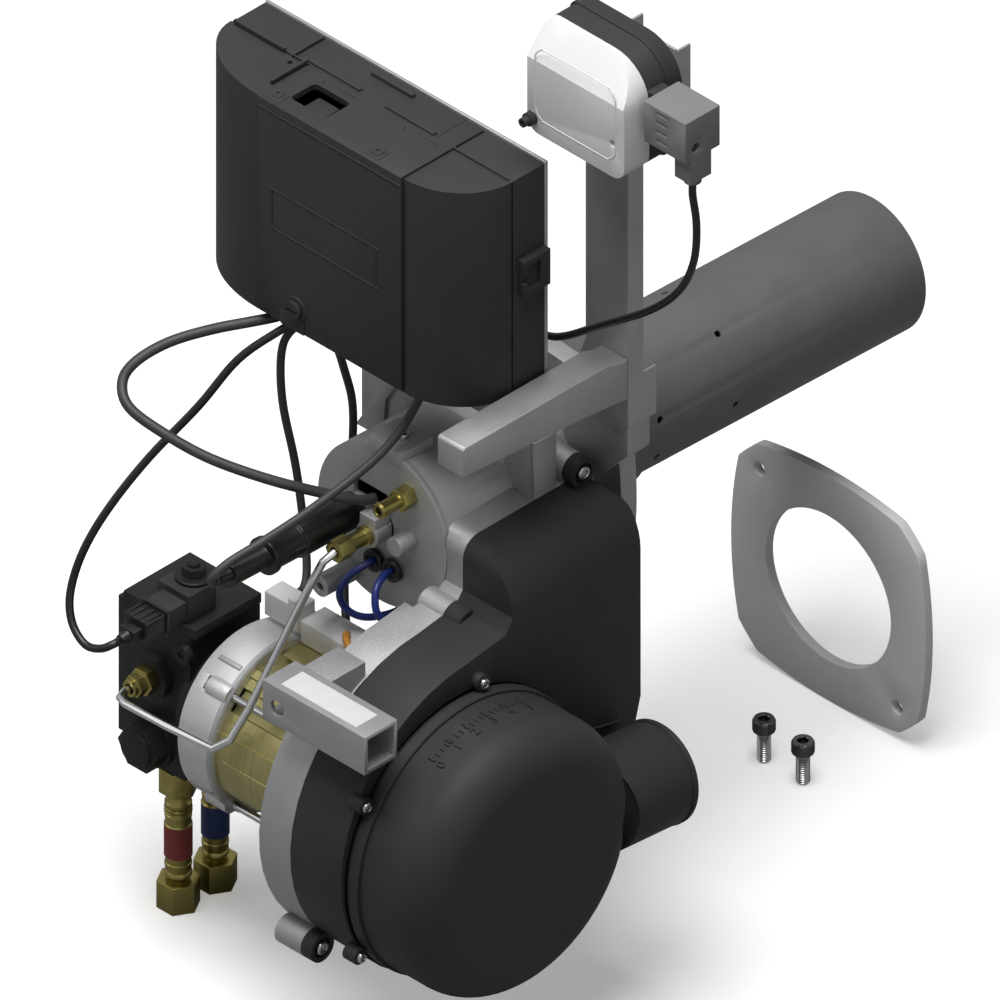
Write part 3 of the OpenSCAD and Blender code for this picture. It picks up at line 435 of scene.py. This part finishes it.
# Bevelled copies: each CAD node's flat facets are joined again and its sharp edges rounded
EDGE_MM = {
    "housing_casting": 1.4, "fan_cover": 1.6, "intake_housing": 2.2, "box_cover": 1.1, "box_back_shell": 1.1,
    "centre_cover": 1.1, "switch_body": 1.6, "switch_cover": 1.8, "switch_plug": 1.2, "support_arm": 0.8,
    "mounting_plate": 0.5, "strap_bracket": 0.6, "square_tube": 0.7, "pump_body": 2.4, "solenoid_coil": 2.2,
    "coil_plug": 1.4, "capacitor": 1.6, "gasket": 0.5, "motor_end_cap": 1.2, "oil_block": 0.6,
    "box_latch": 0.6, "flame_sensor": 0.8, "lead_grommets": 0.7, "spacer_pin": 0.6, "tube_collar": 0.7,
    "blast_tube": 0.25, "reset_button": 1.2, "end_cover": 0.6,
}
EDGE_MM_ELSEWHERE = 0.35
FLAT_ANGLE = math.radians(1.2)
SHARP_ANGLE = math.radians(28)
SMOOTH_ANGLE = math.radians(32)
HAND_MADE = {"gasket_screws", "supply_hose", "return_hose", "cover_screws", "through_bolts", "motor_stator"}


def mesh_of(obj):
    graph = bpy.context.evaluated_depsgraph_get()
    return bpy.data.meshes.new_from_object(obj.evaluated_get(graph))


def plain_piece(name, mesh, slot, body, replaces=()):
    obj = show(name, mesh)
    mesh.materials.clear()
    mesh.materials.append(MATERIALS[slot])
    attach(obj, body)
    if replaces:
        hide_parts(*replaces)
    return obj


def repaint(obj, finish):
    """Gives one piece a finish of its own within its slot's colour family."""
    obj.data.materials.clear()
    obj.data.materials.append(MATERIALS[finish])


def body_of(node):
    for body, nodes in frame["record"]["behaviour"]["bodies"].items():
        if node in nodes:
            return body


def bevelled(node, width_mm):
    work = bmesh.new()
    work.from_mesh(frame["nodes"][node].data)
    bmesh.ops.remove_doubles(work, verts=work.verts, dist=0.00001)
    bmesh.ops.dissolve_limit(work, angle_limit=FLAT_ANGLE, verts=work.verts, edges=work.edges)
    mesh = bpy.data.meshes.new(node + "_rounded")
    work.to_mesh(mesh)
    work.free()
    piece = show(node + "_edges", mesh)
    bevel = piece.modifiers.new("edge", "BEVEL")
    bevel.width = width_mm * MM
    bevel.segments = 3
    bevel.limit_method = "ANGLE"
    bevel.angle_limit = SHARP_ANGLE
    bevel.use_clamp_overlap = True
    bevel.harden_normals = False
    done = mesh_of(piece)
    bpy.data.objects.remove(piece)
    work = bmesh.new()
    work.from_mesh(done)
    bmesh.ops.triangulate(work, faces=[f for f in work.faces if len(f.verts) > 4])
    work.to_mesh(done)
    work.free()
    for face in done.polygons:
        face.use_smooth = True
    done.set_sharp_from_angle(angle=SMOOTH_ANGLE)
    return plain_piece(node + "_rounded", done, NODE_SLOT[node], body_of(node), (node,))


# Small shapes, built round the origin with rounded edges
BEVEL_ANGLE = 0.45
SHAPE_SMOOTH_ANGLE = math.radians(35)


def finished(work, bevel=0.0, segments=2):
    """Rounds a shape's edges, turns its faces outward and gives its mesh."""
    if bevel:
        sharp = [e for e in work.edges if len(e.link_faces) == 2 and e.calc_face_angle() > BEVEL_ANGLE]
        bmesh.ops.bevel(work, geom=sharp, offset=bevel, segments=segments, affect="EDGES",
                        clamp_overlap=True, profile=0.5)
    bmesh.ops.recalc_face_normals(work, faces=work.faces)
    mesh = bpy.data.meshes.new("shape")
    work.to_mesh(mesh)
    work.free()
    for face in mesh.polygons:
        face.use_smooth = True
    mesh.set_sharp_from_angle(angle=SHAPE_SMOOTH_ANGLE)
    return mesh


def block(low, high, bevel=0.4):
    """A rounded bar between two corners, in millimetres."""
    low, high = Vector(low) * MM, Vector(high) * MM
    work = bmesh.new()
    bmesh.ops.create_cube(work, size=1, matrix=Matrix.Translation((low + high) / 2)
                          @ Matrix.Diagonal((*(high - low), 1)))
    return finished(work, bevel * MM, 3)


def turned(profile, sides=48):
    """A closed solid of revolution about +Z from (radius, height) points in millimetres."""
    work = bmesh.new()
    rings = []
    for radius, height in profile:
        if radius == 0:
            rings.append([work.verts.new((0, 0, height * MM))])
        else:
            rings.append([work.verts.new((radius * MM * math.cos(2 * math.pi * k / sides),
                                          radius * MM * math.sin(2 * math.pi * k / sides), height * MM))
                          for k in range(sides)])
    pairs = list(zip(rings, rings[1:]))
    if len(rings[0]) > 1 and len(rings[-1]) > 1:
        pairs.append((rings[-1], rings[0]))
    for a, b in pairs:
        for k in range(sides):
            n = (k + 1) % sides
            corners = [a[k % len(a)], a[n % len(a)], b[n % len(b)], b[k % len(b)]]
            work.faces.new(list(dict.fromkeys(corners)))
    return finished(work)


def prism(sides, across, height, bevel=0.3):
    """A hexagon or other regular bar about +Z, measured across its flats."""
    radius = across / 2 / math.cos(math.pi / sides) * MM
    work = bmesh.new()
    bmesh.ops.create_cone(work, cap_ends=True, segments=sides, radius1=radius, radius2=radius,
                          depth=height * MM, matrix=Matrix.Translation((0, 0, height / 2 * MM)))
    return finished(work, bevel * MM, 2)


def rod(points, diameter):
    """A round bar swept smoothly along points in millimetres."""
    holder = swept("rod", smooth_route(points, ROD_STEPS), diameter, 4)
    mesh = mesh_of(holder)
    bpy.data.objects.remove(holder)
    return mesh


def at(x, y, z, axis="Z", spin=0.0):
    """Stands a +Z shape at a place in millimetres, facing along an axis."""
    turns = {
        "Z": Matrix.Identity(4), "-Z": Matrix.Rotation(math.pi, 4, "X"),
        "X": Matrix.Rotation(math.pi / 2, 4, "Y"), "-X": Matrix.Rotation(-math.pi / 2, 4, "Y"),
        "Y": Matrix.Rotation(-math.pi / 2, 4, "X"), "-Y": Matrix.Rotation(math.pi / 2, 4, "X"),
    }
    spun = Matrix.Rotation(math.radians(spin), 4, "Z")
    return Matrix.Translation(Vector((x, y, z)) * MM) @ turns[axis] @ spun


def solid_profile(points, height):
    """Extrudes a closed outline, in millimetres, along +Z and rounds its ends a little."""
    work = bmesh.new()
    base = [work.verts.new((x * MM, y * MM, 0)) for x, y in points]
    top = [work.verts.new((x * MM, y * MM, height * MM)) for x, y in points]
    work.faces.new(base[::-1])
    work.faces.new(top)
    for k in range(len(points)):
        n = (k + 1) % len(points)
        work.faces.new((base[k], base[n], top[n], top[k]))
    return finished(work, 0.35 * MM, 2)


def digit(number, size_mm):
    text = bpy.data.curves.new("digit", "FONT")
    text.body = str(number)
    text.size = size_mm * MM
    text.extrude = 0.7 * MM
    text.bevel_depth = 0.06 * MM
    text.align_x = "CENTER"
    holder = show("digit", text)
    mesh = mesh_of(holder)
    bpy.data.objects.remove(holder)
    return mesh


def rounded_outline(x_span, z_span, radius, y):
    """Points of a closed rounded rectangle on a plane square to Y."""
    (x0, x1), (z0, z1) = x_span, z_span
    points = []
    for x, z, start in ((x1 - radius, z1 - radius, 0), (x0 + radius, z1 - radius, 90),
                        (x0 + radius, z0 + radius, 180), (x1 - radius, z0 + radius, 270)):
        for k in range(5):
            turn = math.radians(start + 22.5 * k)
            points.append((x + radius * math.cos(turn), y, z + radius * math.sin(turn)))
    return points + points[:1]


class Group:
    """Gathers shapes of one finish that move together into one piece."""

    def __init__(self, name, slot, body=ROOT, replaces=()):
        self.name, self.slot, self.body, self.nodes = name, slot, body, replaces
        self.work = bmesh.new()

    def add(self, mesh, where=None):
        copy = mesh.copy()
        if where is not None:
            copy.transform(where)
        self.work.from_mesh(copy)
        return self

    def done(self):
        mesh = bpy.data.meshes.new(self.name)
        self.work.to_mesh(mesh)
        self.work.free()
        for face in mesh.polygons:
            face.use_smooth = True
        mesh.set_sharp_from_angle(angle=SHAPE_SMOOTH_ANGLE)
        return plain_piece(self.name, mesh, self.slot, self.body, self.nodes)


def grown(tree, mesh, **values):
    """Runs a copies tree on a shape and gives the plain mesh back."""
    part = show("part", mesh)
    holder = show("holder", bpy.data.meshes.new("holder"))
    nodes = holder.modifiers.new("copies", "NODES")
    nodes.node_group = tree.tree
    nodes[tree.ids["Part"]] = part
    nodes[tree.ids["Finish"]] = MATERIALS["screw_steel"]
    for key, value in values.items():
        nodes[tree.ids[key]] = value
    result = mesh_of(holder)
    bpy.data.objects.remove(holder)
    bpy.data.objects.remove(part)
    return result


def ring_of(mesh, count, radius_mm=0.0, start=0.0, step=None):
    turn = math.radians(360 / count if step is None else step)
    return grown(RING, mesh, Count=count, Radius=radius_mm * MM, Start=math.radians(start), Step=turn)


def line_of(mesh, count, step_mm):
    return grown(LINE, mesh, Count=count, Step=tuple(s * MM for s in step_mm))


# Screws, hoses and bolts
def screw_shape(radius, head, length, sides=40):
    """A socket head screw about +Z: its head stands above 0 and its shank goes down."""
    shank, socket = radius * 0.55, radius * 0.5
    return turned([(0, -length), (shank * 0.8, -length), (shank, 0.6 - length), (shank, 0), (radius - 0.3, 0),
                   (radius, 0.3), (radius, head - 0.7), (radius - 0.25, head - 0.25), (radius - 0.7, head),
                   (socket + 0.3, head), (socket, head - 0.3), (socket, head - 2.2), (0, head - 2.2)], sides)


def on_fan_circle(radius, turn_deg):
    """A place in Y and Z on a circle about the fan's axis, with 180 degrees at the top."""
    turn = math.radians(turn_deg)
    return FAN_Y + radius * math.sin(turn), FAN_Z - radius * math.cos(turn)


def make_cover_screws():
    group = Group("cover_socket_screws", "screw_steel", replaces=("cover_screws",))
    lug_screw = screw_shape(4.3, 4.2, 4)
    for y, z in COVER_LUGS:
        group.add(lug_screw, at(LUG_FACE_X, y, z, "X"))
    group.add(screw_shape(5, 2.4, 3), at(*TUBE_SCREW, "-Y"))
    group.add(screw_shape(4, 3.4, 4), at(*BARREL_SCREW))
    group.done()
    small = Group("intake_small_screws", "screw_steel")
    for turn in (170, 235, 300):
        small.add(screw_shape(3.2, 2.4, 2), at(INTAKE_SCREW_X, *on_fan_circle(INTAKE_SCREW_R, turn), "X"))
    small.done()


SCREW_PITCH = 1.25
SCREW_HEAD = 8.0
GASKET_SCREW_SPOTS = ((31.7, 141.2), (61.3, 141.6))


def make_gasket_screws():
    """Two loose M8 screws that stand on their ends, with cut threads and knurled black heads."""
    low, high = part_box("gasket_screws")
    bottom = low.z / MM
    length = high.z / MM - low.z / MM - SCREW_HEAD
    group = Group("gasket_socket_screws", "screw_steel", replaces=("gasket_screws",))
    ridge = turned([(3.35, 0), (4.0, 0.45), (4.0, 0.6), (3.35, 1.05)], 32)
    thread = line_of(ridge, int(length / SCREW_PITCH - 1), (0, 0, SCREW_PITCH))
    knurl = ring_of(block((-0.25, -0.22, 0.9), (0.25, 0.22, 6.6), 0.1), 44, 6.3)
    shank = turned([(0, 0), (2.9, 0), (3.4, 0.8), (3.4, length - 2), (4, length - 2), (4, length),
                    (0, length)], 40)
    cap = turned([(0, 0), (6.0, 0), (6.3, 0.3), (6.3, 6.9), (5.7, SCREW_HEAD), (3.4, SCREW_HEAD),
                  (3.1, SCREW_HEAD - 0.4), (3.1, 4), (0, 4)], 48)
    heads = Group("gasket_screw_heads", "screw_steel")
    for x, y in GASKET_SCREW_SPOTS:
        group.add(shank, at(x, y, bottom))
        group.add(thread, at(x, y, bottom + 0.9))
        heads.add(cap, at(x, y, bottom + length))
        heads.add(knurl, at(x, y, bottom + length))
    group.done()
    repaint(heads.done(), "black_chrome")


def make_hose(node, slot, x, y):
    """A hose end from the bottom up: cap, crimped ferrule, coloured sleeve, ferrule, neck and nut."""
    profile = [(0, -256.9), (7.2, -256.9), (7.55, -256.4), (7.55, -253.2), (5.5, -252.6), (5.5, -249.6),
               (6.6, -248.4), (7.6, -247), (7.6, -245.2), (6.9, -244.2), (7.25, -243), (7.25, -241.6),
               (7.6, -240.8), (7.6, -239), (7.1, -238.4), (7.25, -235), (7.9, -234.2), (7.9, -213.4),
               (7.25, -212.6), (7.25, -209.2), (7.6, -208.4), (7.6, -206.6), (7.05, -206), (7.05, -201.4),
               (7.6, -200.6), (7.6, -198.8), (6.7, -197.6), (6.2, -194), (6.2, -191), (7.4, -190),
               (7.4, -169), (0, -168.2)]
    hexagon_z, crimps_z = -191.9, -205.8
    group = Group(node + "_ferrule", slot, replaces=(node,))
    group.add(turned(profile, 56), at(x, y, 0))
    group.add(prism(6, 19.6, 16.6, 1.1), at(x, y, hexagon_z, "Z", 30))
    crimps = line_of(turned([(7.1, 0), (7.85, 0.5), (7.85, 1.1), (7.1, 1.6)], 40), 2, (0, 0, 2.4))
    group.add(crimps, at(x, y, crimps_z))
    group.done()


def make_through_bolts():
    low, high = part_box("through_bolts")
    group = Group("motor_through_bolts", "screw_steel", replaces=("through_bolts",))
    head_high = 4
    end = (high.x - low.x) / MM
    bolt = turned([(0, head_high), (1.9, head_high), (2.2, head_high + 0.3), (2.2, end - 0.3), (1.9, end),
                   (0, end)], 24)
    head = prism(6, 7, head_high, 0.5)
    for k in range(4):
        turn = math.radians(45 + 90 * k)
        y, z = FAN_Y + MOTOR_BOLT_R * math.cos(turn), FAN_Z + MOTOR_BOLT_R * math.sin(turn)
        group.add(bolt, at(low.x / MM, y, z, "X"))
        group.add(head, at(low.x / MM, y, z, "X"))
    group.done()


# Fan cover and air intake
DIAL_R, DIAL_X = 84.0, 121
DIAL_START, DIAL_NUMBER_STEP, DIAL_TICK_STEP = 160.5, 9.5, 2.64
LAST_NUMBER = 5
LIP_X, LIP_TURN = 131.9, -95


def on_rim(turn_deg, radius, x):
    """Stands a shape on the intake's rim, read from the front: 180 degrees is the top."""
    turn = math.radians(turn_deg)
    out = Vector((0, math.sin(turn), -math.cos(turn)))
    along = Vector((0, -math.cos(turn), -math.sin(turn)))
    rows = Matrix((along, Vector((-1, 0, 0)), out)).transposed().to_4x4()
    centre = Vector((x, FAN_Y, FAN_Z)) + out * radius
    return Matrix.Translation(centre * MM) @ rows


def make_dial():
    """The air setting's scale on the intake: ticks, the numbers 0 to 5 and a raised band."""
    group = Group("air_dial_scale", "black_moulding", INTAKE)
    fine = ring_of(block((-0.4, -0.45, 0), (0.8, 0.45, 3.4), 0.15), 19, DIAL_R, DIAL_START, DIAL_TICK_STEP)
    coarse = ring_of(block((-0.4, -0.55, -1.8), (1.0, 0.55, 3.4), 0.18), LAST_NUMBER + 1, DIAL_R, DIAL_START,
                     DIAL_NUMBER_STEP)
    group.add(fine, at(DIAL_X, FAN_Y, FAN_Z, "X"))
    group.add(coarse, at(DIAL_X, FAN_Y, FAN_Z, "X"))
    for number in range(LAST_NUMBER + 1):
        turn = DIAL_START + DIAL_NUMBER_STEP * (LAST_NUMBER - number)
        group.add(digit(number, 8.0), on_rim(turn, DIAL_R + 0.1, DIAL_X + 10.5))
    group.add(turned([(83, 0), (85.4, 0), (85.9, 0.5), (85.9, 7), (85.4, 7.5), (83, 7.5)], 128),
              at(103, FAN_Y, FAN_Z, "X"))
    group.done()


def make_spigot_lip():
    """The rounded lip at the mouth of the intake's spigot."""
    lip = Group("air_spigot_lip", "black_moulding", INTAKE)
    turn = Matrix.Rotation(math.radians(LIP_TURN), 4, "X")
    lip.add(turned([(29, 122.5), (30.4, 122.5), (30.7, 123), (30.7, 125.4), (30.3, 125.9), (29, 125.9)], 96),
            Matrix.Translation(Vector((LIP_X, FAN_Y, FAN_Z)) * MM) @ turn)
    lip.done()


def make_cover_details():
    """The fan cover's curved trim line and its low barrel with a bore."""
    group = Group("fan_cover_details", "black_moulding")
    group.add(rod([[101.0, -89, -98], [101.0, -80, -104], [101.0, -66, -110], [101.0, -50, -114.5],
                   [101.0, -38, -116.5]], 1.5))
    barrel = turned([(0, 0), (5.6, 0), (6.2, 0.6), (6.2, 15.4), (5.6, 16), (3.2, 16), (2.8, 15.4), (2.8, 8),
                     (0, 8)], 40)
    group.add(barrel, at(92, -231, -112, "-Y"))
    group.done()


def make_middle_lug():
    """The middle screw lug stands proud of the spiral where the cover steps in."""
    black = Group("fan_cover_middle_lug", "black_moulding")
    black.add(turned([(0, 0), (8.6, 0), (9.2, 0.8), (9.2, 11.2), (8.4, 12), (6.4, 12), (6, 11.5), (6, 8),
                      (0, 8)], 56), at(62.5, *MIDDLE_LUG, "X"))
    black.done()
    cast = Group("casting_middle_lug", "cast_aluminium")
    cast.add(turned([(0, 0), (8.4, 0), (9.4, 0.8), (9.4, 19.6), (9.1, 20), (0, 20)], 56),
             at(42.3, *MIDDLE_LUG, "X"))
    cast.done()
    steel = Group("middle_lug_screw", "screw_steel")
    steel.add(screw_shape(4.3, 3.2, 3), at(70.6, *MIDDLE_LUG, "X"))
    steel.done()


def make_label():
    """The bare label on the square tube."""
    group = Group("bare_label", "gasket_board")
    group.add(block((47, -246, -16.3), (105, -229.5, -15.75), 0.25))
    group.done()


# Control box and air switch
TOP_BARS = (((-88.5, -119), (-86.5, -89), 1.7), ((-87, -91.5), (-47, -88.5), 1.5),
            ((-54, -76), (-22, -73), 2.5), ((-27, -92.5), (11, -89.5), 1.5),
            ((-142, -93.4), (-103, -91.4), 1.9), ((12, -93), (13.2, -68), 0.5),
            ((-98, -93), (-96.8, -68), 0.5))
TOP_BOSSES_X = (-76.5, 0.2)
TOP_TEETH_X = (-48, -40, -32, -24)


def make_box_details():
    """Raised lines, ribs, teeth and screw bosses on the control box."""
    group = Group("control_box_details", "box_moulding")
    group.add(rod(rounded_outline((-73, 7), (172, 198), 3, BOX_FRONT - 0.05), 0.9))
    group.add(block((-66, BOX_FRONT - 0.6, 112), (-48, BOX_FRONT + 0.4, 121), 0.4))
    group.add(block((-60, BOX_FRONT - 0.6, 121), (-49, BOX_FRONT + 0.4, 133), 0.4))
    group.add(block((-84.3, BOX_FRONT - 0.5, 248), (26.3, BOX_FRONT + 0.4, 249.2), 0.3))
    group.add(block((-143.5, -92.6, BOX_TOP - 0.3), (68.5, -91.4, BOX_TOP - 0.02), 0.1))
    group.add(block((-50, -78, BOX_TOP - 0.5), (-20, -73, BOX_TOP - 0.01), 0.2))
    for (x0, y0), (x1, y1), proud in TOP_BARS:
        group.add(block((x0, y0, BOX_TOP - 1.5), (x1, y1, BOX_TOP + proud), 0.5))
    boss = turned([(1.2, 0), (3.4, 0), (3.6, 0.4), (3.6, 1.6), (3.2, 2), (1.2, 2)], 32)
    for x in TOP_BOSSES_X:
        group.add(boss, at(x, -124.5, BOX_TOP - 0.9))
        group.add(block((x - 6, -130.5, BOX_TOP - 1.5), (x + 6, -121, BOX_TOP + 0.4), 0.4))
    for x in TOP_TEETH_X:
        group.add(block((x - 2.6, -72.6, BOX_TOP - 0.6), (x + 2.6, -68, BOX_TOP - 0.01), 0.2))
    group.done()


def make_switch_outline():
    """The raised outline on the air switch's white cover."""
    white = Group("switch_cover_outline", "white_moulding")
    white.add(rod(rounded_outline((66, 128), (283, 331), 9, SWITCH_FRONT), 0.9))
    white.done()


# Motor and solenoid coil
def stator_radius(turn):
    """The laminations step down three times on each side of a through bolt."""
    off = abs((turn % 90) - 45)
    return 44.8 if off < 9 else 47.6 if off < 17 else 48.9 if off < 24 else STATOR_R


def make_stator():
    """The stack of laminations, flat on top, with four long keys."""
    outline = []
    for k in range(720):
        turn = k / 2
        radius = stator_radius(turn)
        x, y = radius * math.cos(math.radians(turn)), radius * math.sin(math.radians(turn))
        outline.append((max(x, -STATOR_FLAT), y))
    low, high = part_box("motor_stator")
    group = Group("stator_laminations", "laminations", replaces=("motor_stator",))
    length = (high.x - low.x) / MM
    group.add(solid_profile(outline, length), at(low.x / MM, FAN_Y, FAN_Z, "X"))
    keys = ring_of(block((-0.8, -3.4, 6), (0.5, 3.4, length - 8), 0.3), 4, STATOR_R, 0, 90)
    group.add(keys, at(low.x / MM, FAN_Y, FAN_Z, "X"))
    group.done()


def make_motor_details():
    """A raised band, four ribs and a stepped ring on the motor's end cap."""
    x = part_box("motor_end_cap")[0].x / MM
    group = Group("motor_cap_ribs", "cast_aluminium")
    group.add(turned([(50.6, 0), (53.0, 0), (53.7, 0.6), (53.7, 3.2), (53.0, 3.8), (50.6, 3.8)], 96),
              at(x + 24.6, FAN_Y, FAN_Z, "X"))
    ribs = ring_of(block((-1.5, -1.6, 0), (1.3, 1.6, 17), 0.6), 4, 52.6, 28, 90)
    group.add(ribs, at(x + 6.5, FAN_Y, FAN_Z, "X"))
    group.add(turned([(40.5, -0.9), (44.5, -0.9), (45, -0.4), (45, 1), (40, 1), (40, -0.4)], 96),
              at(x, FAN_Y, FAN_Z, "X"))
    group.done()


def make_coil_washer():
    """The washer under the solenoid coil's nut."""
    low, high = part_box("coil_nut")
    centre = (low + high) / 2 / MM
    group = Group("coil_washer_rings", "pump_black")
    group.add(turned([(4, 0), (10.4, 0), (10.9, 0.4), (10.9, 1.2), (10.2, 1.7), (4, 1.7)], 56),
              at(centre.x, centre.y, low.z / MM - 0.2))
    group.done()


# Floor, world and soft studio light
FLOOR_Z = -0.2681
FLOOR_HALF = 6.0
FILL_LIGHT = 0.07
WHITE_SHOWN = 1.0
WHITE_IN_REFLECTIONS = 0.42


def floor_finish():
    """White to the camera and duller to other rays, so that it throws little light back up."""
    f = Finish("pale_floor")
    seen = f.add("ShaderNodeLightPath", {}, {}, "Is Camera Ray")
    f.set(Base_Color=f.mix(seen, (0.30, 0.30, 0.30), (0.95, 0.95, 0.95)), Roughness=0.75 + f.grain(6) * 0.1,
          Specular_IOR_Level=0.05, Emission_Color=f.mix(seen, (0, 0, 0), (0.30, 0.30, 0.30)),
          Emission_Strength=1.0)
    return f.material


def make_floor():
    mesh = bpy.data.meshes.new("floor")
    r = FLOOR_HALF
    mesh.from_pydata([(-r, -r, FLOOR_Z), (r, -r, FLOOR_Z), (r, r, FLOOR_Z), (-r, r, FLOOR_Z)], [],
                     [(0, 1, 2, 3)])
    mesh.materials.append(floor_finish())
    show("floor", mesh)


def area_light(name, spot, target, size, watts):
    light = bpy.data.lights.new(name, "AREA")
    light.shape = "RECTANGLE"
    light.size, light.size_y = size
    light.energy = watts
    obj = show(name, light)
    obj.location = spot
    obj.rotation_euler = (Vector(target) - Vector(spot)).to_track_quat("-Z", "Y").to_euler()


def make_world():
    """White to the camera and through glass, softer in reflections, and a dim fill for the rest."""
    world = bpy.data.worlds.new("studio")
    world.use_nodes = True
    world.node_tree.nodes.clear()
    w = Nodes(world.node_tree)
    camera, glossy, through = (w.add("ShaderNodeLightPath", {}, {}, "Is %s Ray" % ray)
                               for ray in ("Camera", "Glossy", "Transmission"))
    dim, white = (w.add("ShaderNodeBackground", {}, {"Color": (1, 1, 1), "Strength": strength})
                  for strength in (FILL_LIGHT, WHITE_SHOWN))
    shown = camera + glossy * WHITE_IN_REFLECTIONS + through
    mixed = w.add("ShaderNodeMixShader", {}, {0: shown, 1: dim, 2: white})
    w.add("ShaderNodeOutputWorld", {}, {"Surface": mixed})
    bpy.context.scene.world = world


# The object, piece by piece
set_camera()
for cable_node, facts in ROUTES.items():
    make_cable(cable_node, *facts)

ROUNDED = {node: bevelled(node, EDGE_MM.get(node, EDGE_MM_ELSEWHERE))
           for node in NODE_SLOT if node not in ROUTES and node not in HAND_MADE}
repaint(ROUNDED["motor_end_cap"], "bright_casting")
repaint(ROUNDED["coil_plug"], "black_rubber")

RING = ring_tree()
LINE = line_tree()
make_cover_screws()
make_gasket_screws()
make_hose("supply_hose", "red_sleeve", -98, -180)
make_hose("return_hose", "blue_sleeve", -98, -151.5)
make_through_bolts()
make_dial()
make_spigot_lip()
make_cover_details()
make_label()
make_box_details()
make_switch_outline()
make_stator()
make_motor_details()
make_middle_lug()
make_coil_washer()

make_floor()
make_world()
area_light("key_above", (0.1, -0.5, 2.5), (0, 0, -0.1), (1.7, 1.7), 80)
area_light("left_softbox", (-1.5, -1.5, 0.9), (0, -0.1, 0), (1.2, 1.2), 4)
area_light("right_softbox", (1.9, -0.7, 0.5), (0.05, 0, 0), (0.7, 1.2), 2.5)
bpy.context.scene.view_settings.view_transform = "Standard"
